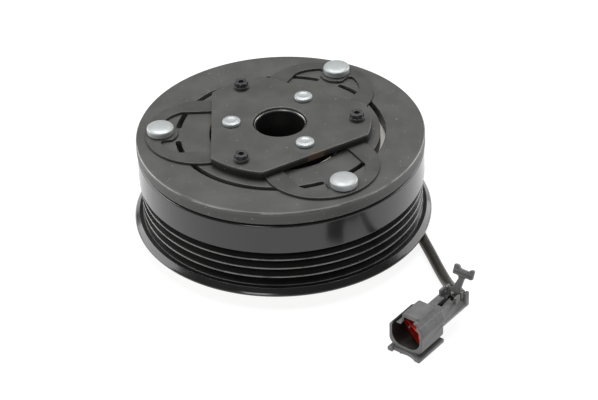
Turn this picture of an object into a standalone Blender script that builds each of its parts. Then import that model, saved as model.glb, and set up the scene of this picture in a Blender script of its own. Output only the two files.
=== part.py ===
"""Electromagnetic clutch of a car air-conditioning compressor.

Everything is in metres, with +Z up along the clutch's axis and the origin on the surface that
the clutch stands on. From the bottom up: the coil's mounting plate and field coil, the pulley
with its rotor and bearing, the armature, the leaf springs, and the hub plate.
"""

import math

import bmesh
import bpy
from mathutils import Vector

# ---------------------------------------------------------------- driving dimensions
FLUSH_GAP = 0.0002          # between two pieces that touch
AIR_GAP = 0.0005            # between the armature and the rotor face when the coil is off
LOBE_ANGLES = (60.0, 180.0, 300.0)      # degrees, the three leaf springs and their rivets
CORNER_ANGLES = (0.0, 120.0, 240.0)     # degrees, the hub plate's corners and their bumpers

RIM_SIDES = 40              # sides of the large turned pieces
RING_SIDES = 32             # sides of the bearing's and the coil's rings
SMALL_SIDES = 12            # sides of rivets, bumpers and pins

# armature
ARMATURE_TOP = 0.0380
ARMATURE_THICKNESS = 0.0048
ARMATURE_RADIUS = 0.0508
ARMATURE_HOLE_RADIUS = 0.0248
ARMATURE_EDGE = 0.0008
SLOT_INNER_RADIUS = 0.0351
SLOT_OUTER_RADIUS = 0.0370
BRIDGE_HALF_ANGLE = 6.4     # degrees, half the bridge that is left beside each large rivet
ARMATURE_BOTTOM = ARMATURE_TOP - ARMATURE_THICKNESS

# leaf springs, measured from the clutch's axis along each spring's centre line
LEAF_BOTTOM = ARMATURE_TOP + FLUSH_GAP
LEAF_THICKNESS = 0.0008
LEAF_TOP = LEAF_BOTTOM + LEAF_THICKNESS
LEAF_CENTRE = 0.0273
LEAF_RADIUS = 0.0202
LEAF_BORE_RADIUS = 0.0112
WINDOW_INNER = 0.0215
WINDOW_HALF_WIDTH = 0.0130
WINDOW_ARCH_CENTRE = 0.0290
WINDOW_ARCH_RADIUS = 0.0143
WINDOW_CORNER = 0.0030
WINDOW_ARCH_END = 24.0      # degrees from the centre line, where the arch meets the rivet's land
RIVET_LAND_RADIUS = 0.0062
LAND_HALF_ANGLE = 130.0     # degrees, where the land's round edge starts, each side of the centre line

# rivets
LARGE_RIVET_REACH = 0.0420
LARGE_RIVET_SHANK = 0.0024
LARGE_RIVET_HEAD = 0.00475
LARGE_RIVET_HEIGHT = 0.0028
SMALL_RIVET_REACH = 0.0170
SMALL_RIVET_SHANK = 0.0018
SMALL_RIVET_HEAD = 0.0032
SMALL_RIVET_HEIGHT = 0.0013
RIVET_CLEARANCE = 0.0002

# hub plate and bumpers
HUB_PLATE_BOTTOM = LEAF_TOP + FLUSH_GAP
HUB_PLATE_TOP = 0.0418
HUB_PLATE_RADIUS = 0.0320
HUB_PLATE_FLAT = 0.0240
HUB_PLATE_BORE = 0.0094
BUMPER_REACH = 0.0270
BUMPER_NECK = 0.0020
BUMPER_FOOT = 0.0036
BUMPER_CAP = 0.00275
BUMPER_TIP = 0.0022
BUMPER_HEIGHT = 0.0026

# splined hub
HUB_FLANGE_RADIUS = 0.0216
HUB_FLANGE_TOP = LEAF_BOTTOM - FLUSH_GAP
HUB_FLANGE_THICKNESS = 0.0030
HUB_BOSS_RADIUS = 0.0112
HUB_BOSS_BOTTOM = 0.0220
HUB_COUNTERBORE = 0.0087
HUB_SEAT = 0.0292
HUB_WEB_THICKNESS = 0.0018
HUB_BOLT_HOLE = 0.0033
SPLINE_TEETH = 18
SPLINE_MINOR = 0.0058
SPLINE_MAJOR = 0.0067
SHIM_THICKNESS = 0.0004

# pulley
FACE_TOP = ARMATURE_BOTTOM - AIR_GAP
BAND_RADIUS = 0.0506
BAND_BOTTOM = 0.0215
GROOVE_PITCH = 0.00356
GROOVE_COUNT = 4
TIP_RADIUS = 0.0500
ROOT_RADIUS = 0.0472
TIP_FLAT = 0.00045
ROOT_FLAT = 0.0007
FLANGE_RADIUS = 0.0531
RIM_BOTTOM = 0.0047
RIM_INNER = 0.0455
ROTOR_WALL_OUTER = 0.0452
ROTOR_WALL_INNER = 0.0423
ROTOR_WALL_BOTTOM = 0.0052
DISC_THICKNESS = 0.0042
ROTOR_SLEEVE_OUTER = 0.0294
ROTOR_SLEEVE_BOTTOM = 0.0125
ROTOR_LIP = 0.0242
LINING_INNER = 0.0446
LINING_OUTER = 0.0476
LINING_DEPTH = 0.0012

# bearing
BEARING_TOP = 0.0279
BEARING_HEIGHT = 0.0120
BEARING_OUTER = 0.0260
BEARING_BORE = 0.0175
OUTER_SHOULDER = 0.0233
INNER_SHOULDER = 0.0202
BALL_REACH = 0.02175
BALL_RADIUS = 0.0027
BALL_GROOVE = 0.0030
BALL_COUNT = 14
SNAP_RING_HEIGHT = 0.0012

# field coil
COIL_OUTER = 0.0419
COIL_INNER = 0.0299
COIL_OUTER_WALL = 0.0022
COIL_INNER_WALL = 0.0021
COIL_BOTTOM = 0.0042
COIL_FLOOR = 0.0030
COIL_TOP = 0.0276
PLATE_TOP = 0.0040
PLATE_UNDERSIDE = 0.0018
PLATE_RADIUS = 0.0465
PILOT_OUTER = 0.0315
PILOT_INNER = 0.0272

# gland and lead
LEAD_RADIUS = 0.0020
LEAD_EXIT = Vector((0.0465, -0.0080, 0.00205))
LEAD_HEADING = Vector((0.24, -0.971, 0.0)).normalized()
GLAND_LENGTH = 0.0098
GLAND_OUTWARD = 0.0030
GLAND_INWARD = 0.0085
GLAND_BOTTOM = 0.0003
GLAND_TOP = 0.0039
LEAD_ROUTE = [
    (0.0465, -0.0080, 0.00205), (0.0479, -0.0140, 0.00205), (0.0495, -0.0205, 0.00205),
    (0.0514, -0.0280, 0.00205), (0.0532, -0.0355, 0.00205), (0.0548, -0.0420, 0.0023),
    (0.0560, -0.0472, 0.0032), (0.0572, -0.0518, 0.0048), (0.0583, -0.0560, 0.0068),
    (0.0586, -0.0594, 0.0083), (0.0576, -0.0622, 0.0091), (0.0557, -0.06425, 0.00925),
]
LEAD_SAMPLES = 20
WIRE_RADIUS = 0.0009
WIRE_SPACING = 0.0024

# connector, in its own frame: +X from the mouth to the rear, +Y left, +Z up
CONNECTOR_PLACE = Vector((0.03828, -0.08166, 0.0))
CONNECTOR_TURN = 51.0       # degrees about +Z
HOOD_FRONT = 0.0015
HOOD_BACK = 0.0140
HOOD_HALF_WIDTH = 0.0068
HOOD_BOTTOM = 0.0018
HOOD_TOP = 0.0130
HOOD_CORNER = 0.0022
MOUTH_HALF_WIDTH = 0.0056
MOUTH_BOTTOM = 0.0030
MOUTH_TOP = 0.0119
MOUTH_CORNER = 0.0040
MOUTH_DEPTH = 0.0090
LOCK_FRONT = 0.0040
LOCK_BACK = 0.0130
LOCK_LEFT = 0.0022
LOCK_RIGHT = -0.0044
LOCK_TOP = 0.0153
NECK_BACK = 0.0275
NECK_LEFT = 0.0016
NECK_RIGHT = -0.0068
NECK_BOTTOM = 0.0064
NECK_TOP = 0.0116
TROUGH_MIDDLE = -0.0026
TROUGH_HALF_WIDTH = 0.0025
TROUGH_FLOOR = 0.0070
HOOK_TOP = 0.0130
RAIL_THICKNESS = 0.0010
RAIL_HALF_WIDTH = 0.0065
RAIL_WEB_HALF_WIDTH = 0.0046
RAIL_BACK = 0.0144
FLAP_HINGE = Vector((0.0262, -0.0026, 0.0126))
FLAP_LEAN = 23.0            # degrees back from upright, when open
FLAP_LENGTH = 0.0074
FLAP_ARM_WIDTH = 0.0026
FLAP_THICKNESS = 0.0011
FLAP_BAR_WIDTH = 0.0070
FLAP_BAR_HEIGHT = 0.0020
FLAP_CLAW = 0.0008
FLAP_FOOT_WIDTH = 0.0045
EAR_WIDTH = 0.0010
EAR_HALF_LENGTH = 0.0009
EAR_TOP = 0.0134
PIN_SPACING = 0.0042
PIN_HALF = 0.0005


# ---------------------------------------------------------------- materials
def make_material(name, colour, roughness, metallic):
    """Return a plain Principled material."""
    material = bpy.data.materials.new(name)
    material.use_nodes = True
    shader = material.node_tree.nodes["Principled BSDF"]
    shader.inputs["Base Color"].default_value = (*colour, 1.0)
    shader.inputs["Roughness"].default_value = roughness
    shader.inputs["Metallic"].default_value = metallic
    return material


FINISHES = {
    "phosphated_steel": ((0.16, 0.16, 0.15), 0.5, 0.8),
    "pulley_coating": ((0.10, 0.10, 0.10), 0.3, 0.8),
    "zinc": ((0.86, 0.86, 0.84), 0.25, 1.0),
    "rubber": ((0.03, 0.03, 0.03), 0.7, 0.0),
    "spring_steel": ((0.17, 0.17, 0.16), 0.45, 0.85),
    "bare_steel": ((0.60, 0.60, 0.58), 0.3, 1.0),
    "lining": ((0.20, 0.15, 0.11), 0.9, 0.0),
    "ball_steel": ((0.75, 0.75, 0.75), 0.08, 1.0),
    "cage_brass": ((0.62, 0.47, 0.22), 0.35, 1.0),
    "seal_rubber": ((0.12, 0.05, 0.03), 0.6, 0.0),
    "coil_paint": ((0.05, 0.05, 0.05), 0.45, 0.3),
    "plated_steel": ((0.62, 0.56, 0.40), 0.35, 1.0),
    "bobbin_nylon": ((0.75, 0.72, 0.62), 0.5, 0.0),
    "copper": ((0.55, 0.22, 0.10), 0.35, 0.9),
    "potting": ((0.03, 0.03, 0.04), 0.4, 0.0),
    "sleeve": ((0.04, 0.038, 0.034), 0.5, 0.0),
    "wire": ((0.02, 0.02, 0.02), 0.5, 0.0),
    "connector_plastic": ((0.12, 0.12, 0.12), 0.45, 0.0),
    "red_silicone": ((0.55, 0.03, 0.02), 0.45, 0.0),
    "terminal_tin": ((0.70, 0.66, 0.55), 0.3, 1.0),
}
MATERIALS = {}


# ---------------------------------------------------------------- building helpers
def clear_scene():
    """Remove whatever the file holds, so that the script can run again."""
    for old in list(bpy.data.objects):
        bpy.data.objects.remove(old, do_unlink=True)


def finish_mesh(name, bm, sharp_degrees=35.0):
    """Turn a bmesh into a mesh with outward faces and smooth round walls."""
    bmesh.ops.recalc_face_normals(bm, faces=bm.faces)
    if bm.calc_volume(signed=True) < 0:
        bmesh.ops.reverse_faces(bm, faces=bm.faces)
    mesh = bpy.data.meshes.new(name)
    bm.to_mesh(mesh)
    bm.free()
    mesh.shade_smooth()
    mesh.set_sharp_from_angle(angle=math.radians(sharp_degrees))
    return mesh


def add_piece(name, mesh, finish, parent=None):
    """Place a mesh in the scene under its node's name, with its own material."""
    piece = bpy.data.objects.new(name, mesh)
    bpy.context.scene.collection.objects.link(piece)
    if not mesh.materials:
        mesh.materials.append(MATERIALS[finish])
    piece.parent = parent
    return piece


def add_axis(name, place=(0.0, 0.0, 0.0), turn=0.0):
    """Return an empty that a group of pieces hangs from."""
    axis = bpy.data.objects.new(name, None)
    axis.location = place
    axis.rotation_euler = (0.0, 0.0, math.radians(turn))
    bpy.context.scene.collection.objects.link(axis)
    return axis


def ring_mesh(name, profile, sides=RING_SIDES):
    """Spin a closed profile of (radius, height) points into a ring."""
    bm = bmesh.new()
    corners = [bm.verts.new((radius, 0.0, height)) for radius, height in profile]
    edges = [bm.edges.new((a, b)) for a, b in zip(corners, corners[1:] + corners[:1])]
    spin_round(bm, corners + edges, sides)
    return finish_mesh(name, bm)


def turned_mesh(name, profile, sides=SMALL_SIDES):
    """Spin an open profile that starts and ends on the axis into a solid."""
    bm = bmesh.new()
    corners = [bm.verts.new((radius, 0.0, height)) for radius, height in profile]
    edges = [bm.edges.new((a, b)) for a, b in zip(corners, corners[1:])]
    spin_round(bm, corners + edges, sides)
    return finish_mesh(name, bm)


def spin_round(bm, geometry, sides):
    """Turn the given edges a full circle about Z and close the seam and the poles."""
    bmesh.ops.spin(bm, geom=geometry, cent=(0, 0, 0), axis=(0, 0, 1),
                   angle=2 * math.pi, steps=sides, use_merge=True)
    bmesh.ops.remove_doubles(bm, verts=bm.verts, dist=1e-6)


def circle_points(radius, sides, centre=(0.0, 0.0)):
    """Return the points of a circle, anticlockwise."""
    steps = [2 * math.pi * i / sides for i in range(sides)]
    return [(centre[0] + radius * math.cos(a), centre[1] + radius * math.sin(a)) for a in steps]


def arc_points(radius, start, end, steps, centre=(0.0, 0.0)):
    """Return points along an arc between two angles in degrees."""
    turns = [math.radians(start + (end - start) * i / steps) for i in range(steps + 1)]
    return [(centre[0] + radius * math.cos(a), centre[1] + radius * math.sin(a)) for a in turns]


def polar(reach, degrees, height=0.0):
    """Return the point at a distance and direction from the axis."""
    angle = math.radians(degrees)
    return Vector((reach * math.cos(angle), reach * math.sin(angle), height))


def plate_bmesh(outlines, bottom, top):
    """Fill an outline with its holes, and raise it into a plate."""
    bm = bmesh.new()
    edges = []
    for outline in outlines:
        corners = [bm.verts.new((x, y, bottom)) for x, y in outline]
        edges += [bm.edges.new((a, b)) for a, b in zip(corners, corners[1:] + corners[:1])]
    bmesh.ops.triangle_fill(bm, edges=edges, use_beauty=True, normal=(0, 0, 1))
    grown = bmesh.ops.extrude_face_region(bm, geom=bm.faces[:])
    raised = [item for item in grown["geom"] if isinstance(item, bmesh.types.BMVert)]
    bmesh.ops.translate(bm, verts=raised, vec=(0, 0, top - bottom))
    return bm


def plate_mesh(name, outlines, bottom, top):
    """Return the finished mesh of a flat plate with holes."""
    return finish_mesh(name, plate_bmesh(outlines, bottom, top))


def slot_outline(inner, outer, start, end, steps=10):
    """Return a curved slot between two radii, with round ends, for two angles in degrees."""
    middle = (inner + outer) / 2
    half = (outer - inner) / 2
    inset = math.degrees(half / middle)
    points = arc_points(outer, start + inset, end - inset, steps)
    tip = polar(middle, end - inset)
    points += arc_points(half, end, end + 180.0, 4, tip)[1:-1]
    points += arc_points(inner, end - inset, start + inset, steps)
    tip = polar(middle, start + inset)
    points += arc_points(half, start + 180.0, start + 360.0, 4, tip)[1:-1]
    return points


def rounded_rectangle(left, right, low, high, corner, steps=3):
    """Return a rectangle's outline with round corners, anticlockwise."""
    points = []
    for x, y, start in ((right - corner, high - corner, 0.0), (left + corner, high - corner, 90.0),
                        (left + corner, low + corner, 180.0), (right - corner, low + corner, 270.0)):
        points += arc_points(corner, start, start + 90.0, steps, (x, y))
    return points


def lengthwise_mesh(name, outline, front, back):
    """Raise an outline given in (Y, Z) along X, from front to back."""
    bm = plate_bmesh([outline], 0.0, back - front)
    for vert in bm.verts:
        across, up, along = vert.co
        vert.co = Vector((front + along, across, up))
    return finish_mesh(name, bm)


def box_mesh(name, low, high):
    """Return a block between two corners."""
    outline = [(low[0], low[1]), (high[0], low[1]), (high[0], high[1]), (low[0], high[1])]
    return plate_mesh(name, [outline], low[2], high[2])


def merge_meshes(name, meshes, moves=None):
    """Put several meshes, each moved by its own vector, into one mesh of separate bodies."""
    bm = bmesh.new()
    for index, mesh in enumerate(meshes):
        before = len(bm.verts)
        bm.from_mesh(mesh)
        bm.verts.ensure_lookup_table()
        if moves:
            bmesh.ops.translate(bm, verts=bm.verts[before:], vec=moves[index])
    return finish_mesh(name, bm)


def apply_tool(piece, name, mesh, operation, parent=None):
    """Cut a tool out of a piece, or join it on, with a Boolean."""
    tool = bpy.data.objects.new(name, mesh)
    bpy.context.scene.collection.objects.link(tool)
    tool.parent = parent
    tool.hide_render = True
    tool.display_type = "WIRE"
    modifier = piece.modifiers.new(name, "BOOLEAN")
    modifier.operation = operation
    modifier.solver = "EXACT"
    modifier.object = tool


# ---------------------------------------------------------------- driven side
def build_armature(axis):
    """The steel disc that the coil pulls down, with three slots and three bridges."""
    slots = []
    for lobe in LOBE_ANGLES:
        start = lobe + BRIDGE_HALF_ANGLE
        slots.append(slot_outline(SLOT_INNER_RADIUS, SLOT_OUTER_RADIUS,
                                  start, lobe + 120.0 - BRIDGE_HALF_ANGLE))
    holes = [circle_points(LARGE_RIVET_SHANK + RIVET_CLEARANCE, SMALL_SIDES,
                           polar(LARGE_RIVET_REACH, lobe)) for lobe in LOBE_ANGLES]
    bore = circle_points(ARMATURE_HOLE_RADIUS, RIM_SIDES)
    outside = circle_points(ARMATURE_RADIUS, RIM_SIDES)
    bm = plate_bmesh([outside, bore] + slots + holes, ARMATURE_BOTTOM, ARMATURE_TOP)
    rim = [edge for edge in bm.edges
           if all(v.co.z > ARMATURE_TOP - 1e-6 and v.co.xy.length > ARMATURE_RADIUS - 1e-5
                  for v in edge.verts)]
    bmesh.ops.bevel(bm, geom=rim, affect="EDGES", offset=ARMATURE_EDGE, segments=1,
                    profile=0.5, material=-1)
    add_piece("armature_plate", finish_mesh("armature_plate", bm, 50.0),
              "phosphated_steel", axis)


def leaf_window():
    """Outline of the window inside a leaf spring: straight sides, an arch, and the rivet's land."""
    half = WINDOW_HALF_WIDTH
    arch_start = math.degrees(math.asin(half / WINDOW_ARCH_RADIUS))
    low = WINDOW_INNER + WINDOW_CORNER
    right = arc_points(WINDOW_CORNER, 180.0, 270.0, 3, (low, -half + WINDOW_CORNER))
    right += arc_points(WINDOW_ARCH_RADIUS, -arch_start, -WINDOW_ARCH_END, 5,
                        (WINDOW_ARCH_CENTRE, 0.0))
    land = arc_points(RIVET_LAND_RADIUS, -LAND_HALF_ANGLE, LAND_HALF_ANGLE - 360.0, 6,
                      (LARGE_RIVET_REACH, 0.0))
    left = [(x, -y) for x, y in reversed(right)]
    return right + land + left


def build_leaf_springs(axis):
    """Three D-shaped loops of spring steel between the hub and the armature."""
    reach = LEAF_CENTRE
    meet = (reach ** 2 - LEAF_RADIUS ** 2 + LEAF_BORE_RADIUS ** 2) / (2 * reach)
    bore_angle = math.degrees(math.acos(meet / LEAF_BORE_RADIUS))
    side = LEAF_BORE_RADIUS * math.sin(math.radians(bore_angle))
    outer_angle = math.degrees(math.atan2(side, meet - reach))
    outline = arc_points(LEAF_RADIUS, -outer_angle, outer_angle, 22, (reach, 0.0))
    outline += arc_points(LEAF_BORE_RADIUS, bore_angle, -bore_angle, 8)[1:-1]
    holes = [circle_points(LARGE_RIVET_SHANK + RIVET_CLEARANCE, SMALL_SIDES,
                           (LARGE_RIVET_REACH, 0.0)),
             circle_points(SMALL_RIVET_SHANK + RIVET_CLEARANCE, SMALL_SIDES,
                           (SMALL_RIVET_REACH, 0.0))]
    mesh = plate_mesh("leaf_spring", [outline, leaf_window()] + holes, LEAF_BOTTOM, LEAF_TOP)
    for number, lobe in enumerate(LOBE_ANGLES, 1):
        leaf = add_piece(f"leaf_spring_{number}", mesh, "spring_steel", axis)
        leaf.rotation_euler.z = math.radians(lobe)


def build_armature_rivets(axis):
    """Large domed rivets that hold the leaf springs to the armature."""
    head_bottom = LEAF_TOP + FLUSH_GAP
    head_top = head_bottom + LARGE_RIVET_HEIGHT
    tail = ARMATURE_BOTTOM + 0.0004
    profile = [(0.0, head_top), (LARGE_RIVET_HEAD * 0.6, head_top - 0.0001),
               (LARGE_RIVET_HEAD * 0.88, head_top - 0.0005),
               (LARGE_RIVET_HEAD, head_top - 0.0012), (LARGE_RIVET_HEAD, head_bottom),
               (LARGE_RIVET_SHANK, head_bottom), (LARGE_RIVET_SHANK, tail), (0.0, tail)]
    mesh = turned_mesh("armature_rivet", profile)
    for number, lobe in enumerate(LOBE_ANGLES, 1):
        rivet = add_piece(f"armature_rivet_{number}", mesh, "zinc", axis)
        rivet.location = polar(LARGE_RIVET_REACH, lobe)


def build_hub_plate(axis):
    """Three-sided plate over the leaf springs, with its rivet, bumper and centre holes."""
    half_corner = 60.0 - math.degrees(math.acos(HUB_PLATE_FLAT / HUB_PLATE_RADIUS))
    outline = []
    for corner in CORNER_ANGLES:
        outline += arc_points(HUB_PLATE_RADIUS, corner - half_corner, corner + half_corner, 8)
    holes = [circle_points(HUB_PLATE_BORE, RING_SIDES)]
    holes += [circle_points(SMALL_RIVET_SHANK + RIVET_CLEARANCE, SMALL_SIDES,
                            polar(SMALL_RIVET_REACH, lobe)) for lobe in LOBE_ANGLES]
    holes += [circle_points(BUMPER_NECK + RIVET_CLEARANCE, SMALL_SIDES,
                            polar(BUMPER_REACH, corner)) for corner in CORNER_ANGLES]
    mesh = plate_mesh("hub_plate", [outline] + holes, HUB_PLATE_BOTTOM, HUB_PLATE_TOP)
    add_piece("hub_plate", mesh, "phosphated_steel", axis)


def build_hub_rivets(axis):
    """Small rivets through the hub plate, the leaf spring and the hub's flange."""
    head_bottom = HUB_PLATE_TOP + FLUSH_GAP
    head_top = head_bottom + SMALL_RIVET_HEIGHT
    flange_bottom = HUB_FLANGE_TOP - HUB_FLANGE_THICKNESS
    tail_top = flange_bottom - FLUSH_GAP
    tail = tail_top - 0.0010
    profile = [(0.0, head_top - 0.0003), (SMALL_RIVET_HEAD * 0.45, head_top - 0.0002),
               (SMALL_RIVET_HEAD * 0.7, head_top), (SMALL_RIVET_HEAD, head_top - 0.0005),
               (SMALL_RIVET_HEAD, head_bottom), (SMALL_RIVET_SHANK, head_bottom),
               (SMALL_RIVET_SHANK, tail_top), (SMALL_RIVET_HEAD * 0.85, tail_top),
               (SMALL_RIVET_HEAD * 0.7, tail), (0.0, tail)]
    mesh = turned_mesh("hub_rivet", profile)
    for number, lobe in enumerate(LOBE_ANGLES, 1):
        rivet = add_piece(f"hub_rivet_{number}", mesh, "zinc", axis)
        rivet.location = polar(SMALL_RIVET_REACH, lobe)


def build_bumpers(axis):
    """Rubber bumpers pressed through the hub plate, which the armature rests against."""
    foot_bottom = ARMATURE_TOP + FLUSH_GAP
    foot_top = HUB_PLATE_BOTTOM - FLUSH_GAP
    cap_bottom = HUB_PLATE_TOP + FLUSH_GAP
    cap_top = cap_bottom + BUMPER_HEIGHT
    dimple = 0.0007
    profile = [(0.0, cap_top - 0.0010), (dimple, cap_top - 0.0010), (dimple, cap_top),
               (BUMPER_TIP * 0.8, cap_top), (BUMPER_TIP, cap_top - 0.0005),
               (BUMPER_CAP, cap_bottom + 0.0006), (BUMPER_CAP, cap_bottom),
               (BUMPER_NECK, cap_bottom), (BUMPER_NECK, foot_top), (BUMPER_FOOT, foot_top),
               (BUMPER_FOOT, foot_bottom), (0.0, foot_bottom)]
    mesh = turned_mesh("bumper", profile)
    for number, corner in enumerate(CORNER_ANGLES, 1):
        bumper = add_piece(f"bumper_{number}", mesh, "rubber", axis)
        bumper.location = polar(BUMPER_REACH, corner)


def spline_outline():
    """Outline of the splined bore: teeth of equal width at two radii."""
    points = []
    pitch = 360.0 / SPLINE_TEETH
    for tooth in range(SPLINE_TEETH):
        middle = tooth * pitch
        for radius, offset in ((SPLINE_MINOR, -0.32), (SPLINE_MAJOR, -0.20),
                               (SPLINE_MAJOR, 0.20), (SPLINE_MINOR, 0.32)):
            points.append(tuple(polar(radius, middle + offset * pitch).xy))
    return points


def build_hub_boss(axis):
    """The splined hub: a flange under the leaf springs and a boss that takes the shaft."""
    flange_bottom = HUB_FLANGE_TOP - HUB_FLANGE_THICKNESS
    web_bottom = HUB_SEAT - HUB_WEB_THICKNESS
    profile = [(HUB_FLANGE_RADIUS, HUB_FLANGE_TOP), (HUB_FLANGE_RADIUS, flange_bottom),
               (HUB_BOSS_RADIUS, flange_bottom), (HUB_BOSS_RADIUS, HUB_BOSS_BOTTOM),
               (HUB_BOLT_HOLE, HUB_BOSS_BOTTOM), (HUB_BOLT_HOLE, HUB_SEAT),
               (HUB_COUNTERBORE, HUB_SEAT), (HUB_COUNTERBORE, HUB_PLATE_TOP - 0.0012),
               (HUB_PLATE_BORE - 0.0003, HUB_PLATE_TOP - 0.0006),
               (HUB_PLATE_BORE - 0.0003, HUB_FLANGE_TOP)]
    boss = add_piece("hub_boss", ring_mesh("hub_boss", profile), "phosphated_steel", axis)
    bore = plate_mesh("spline_bore", [spline_outline()], HUB_BOSS_BOTTOM - 0.001, web_bottom)
    apply_tool(boss, "spline_bore", bore, "DIFFERENCE", axis)
    holes = turned_mesh("rivet_hole", [(0.0, HUB_FLANGE_TOP + 0.001),
                                       (SMALL_RIVET_SHANK + RIVET_CLEARANCE, HUB_FLANGE_TOP + 0.001),
                                       (SMALL_RIVET_SHANK + RIVET_CLEARANCE, flange_bottom - 0.001),
                                       (0.0, flange_bottom - 0.001)])
    places = [polar(SMALL_RIVET_REACH, lobe) for lobe in LOBE_ANGLES]
    apply_tool(boss, "rivet_holes", merge_meshes("rivet_holes", [holes] * 3, places),
               "DIFFERENCE", axis)
    shim_top = web_bottom - FLUSH_GAP
    shim = [(SPLINE_MINOR - 0.0003, shim_top), (SPLINE_MINOR - 0.0003, shim_top - SHIM_THICKNESS),
            (HUB_BOLT_HOLE, shim_top - SHIM_THICKNESS), (HUB_BOLT_HOLE, shim_top)]
    add_piece("gap_shim", ring_mesh("gap_shim", shim, SMALL_SIDES), "bare_steel", axis)


# ---------------------------------------------------------------- driving side
def build_rotor(axis):
    """The rotor: friction disc with flux slots, the smooth band, and two walls round the coil."""
    disc_bottom = FACE_TOP - DISC_THICKNESS
    shoulder = BAND_BOTTOM - (GROOVE_PITCH - TIP_FLAT - ROOT_FLAT) / 2
    groove_top = BEARING_TOP - BEARING_HEIGHT - FLUSH_GAP
    groove_bottom = groove_top - SNAP_RING_HEIGHT - 2 * FLUSH_GAP
    bore = BEARING_OUTER + FLUSH_GAP
    lining_in = LINING_INNER - FLUSH_GAP
    lining_out = LINING_OUTER + FLUSH_GAP
    lining_floor = FACE_TOP - LINING_DEPTH - FLUSH_GAP
    profile = [(BAND_RADIUS - 0.0007, FACE_TOP), (BAND_RADIUS, FACE_TOP - 0.0007),
               (BAND_RADIUS, BAND_BOTTOM), (ROOT_RADIUS, shoulder), (ROTOR_WALL_OUTER, shoulder),
               (ROTOR_WALL_OUTER, ROTOR_WALL_BOTTOM), (ROTOR_WALL_INNER, ROTOR_WALL_BOTTOM),
               (ROTOR_WALL_INNER, disc_bottom), (ROTOR_SLEEVE_OUTER, disc_bottom),
               (ROTOR_SLEEVE_OUTER, ROTOR_SLEEVE_BOTTOM), (bore, ROTOR_SLEEVE_BOTTOM),
               (bore, groove_bottom), (bore + 0.0012, groove_bottom), (bore + 0.0012, groove_top),
               (bore, groove_top), (bore, BEARING_TOP + FLUSH_GAP),
               (ROTOR_LIP, BEARING_TOP + FLUSH_GAP), (ROTOR_LIP, FACE_TOP),
               (lining_in, FACE_TOP), (lining_in, lining_floor),
               (lining_out, lining_floor), (lining_out, FACE_TOP)]
    rotor = add_piece("rotor", ring_mesh("rotor", profile, RIM_SIDES), "pulley_coating", axis)
    slots = []
    for inner, outer, turn, half_span in ((0.0312, 0.0332, 0.0, 50.0), (0.0394, 0.0413, 60.0, 52.0)):
        for corner in CORNER_ANGLES:
            middle = corner + turn
            outline = slot_outline(inner, outer, middle - half_span, middle + half_span, 8)
            slots.append(plate_mesh("flux_slot", [outline], disc_bottom - 0.001, FACE_TOP + 0.001))
    apply_tool(rotor, "flux_slots", merge_meshes("flux_slots", slots), "DIFFERENCE", axis)
    lining = [(LINING_OUTER, FACE_TOP - 0.0001), (LINING_OUTER, FACE_TOP - LINING_DEPTH),
              (LINING_INNER, FACE_TOP - LINING_DEPTH), (LINING_INNER, FACE_TOP - 0.0001)]
    add_piece("friction_ring", ring_mesh("friction_ring", lining, RIM_SIDES), "lining", axis)


def build_pulley_rim(axis):
    """The grooved belt rim under the smooth band, with one flange at its lower end."""
    flank = (GROOVE_PITCH - TIP_FLAT - ROOT_FLAT) / 2
    height = BAND_BOTTOM - flank - FLUSH_GAP
    profile = [(ROOT_RADIUS, height)]
    height = BAND_BOTTOM - flank - ROOT_FLAT
    for _ in range(GROOVE_COUNT - 1):
        profile += [(ROOT_RADIUS, height), (TIP_RADIUS, height - flank),
                    (TIP_RADIUS, height - flank - TIP_FLAT),
                    (ROOT_RADIUS, height - 2 * flank - TIP_FLAT)]
        height -= GROOVE_PITCH
    profile += [(ROOT_RADIUS, height), (TIP_RADIUS, height - flank),
                (TIP_RADIUS + 0.0014, height - flank - 0.0003), (FLANGE_RADIUS, RIM_BOTTOM + 0.0013),
                (FLANGE_RADIUS, RIM_BOTTOM + 0.0005), (FLANGE_RADIUS - 0.0005, RIM_BOTTOM),
                (RIM_INNER, RIM_BOTTOM), (RIM_INNER, BAND_BOTTOM - flank - FLUSH_GAP)]
    add_piece("pulley_rim", ring_mesh("pulley_rim", profile, RIM_SIDES), "pulley_coating", axis)


def race_arc(shoulder, side):
    """Points of a ball groove cut into a shoulder: side is 1 for the outer ring, -1 for the inner."""
    middle = BEARING_TOP - BEARING_HEIGHT / 2
    depth = side * (shoulder - BALL_REACH)
    half = math.degrees(math.acos(depth / BALL_GROOVE))
    points = []
    steps = 4
    for step in range(steps + 1):
        angle = math.radians(half - 2 * half * step / steps)
        points.append((BALL_REACH + side * BALL_GROOVE * math.cos(angle),
                       middle + BALL_GROOVE * math.sin(angle)))
    return points


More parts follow.
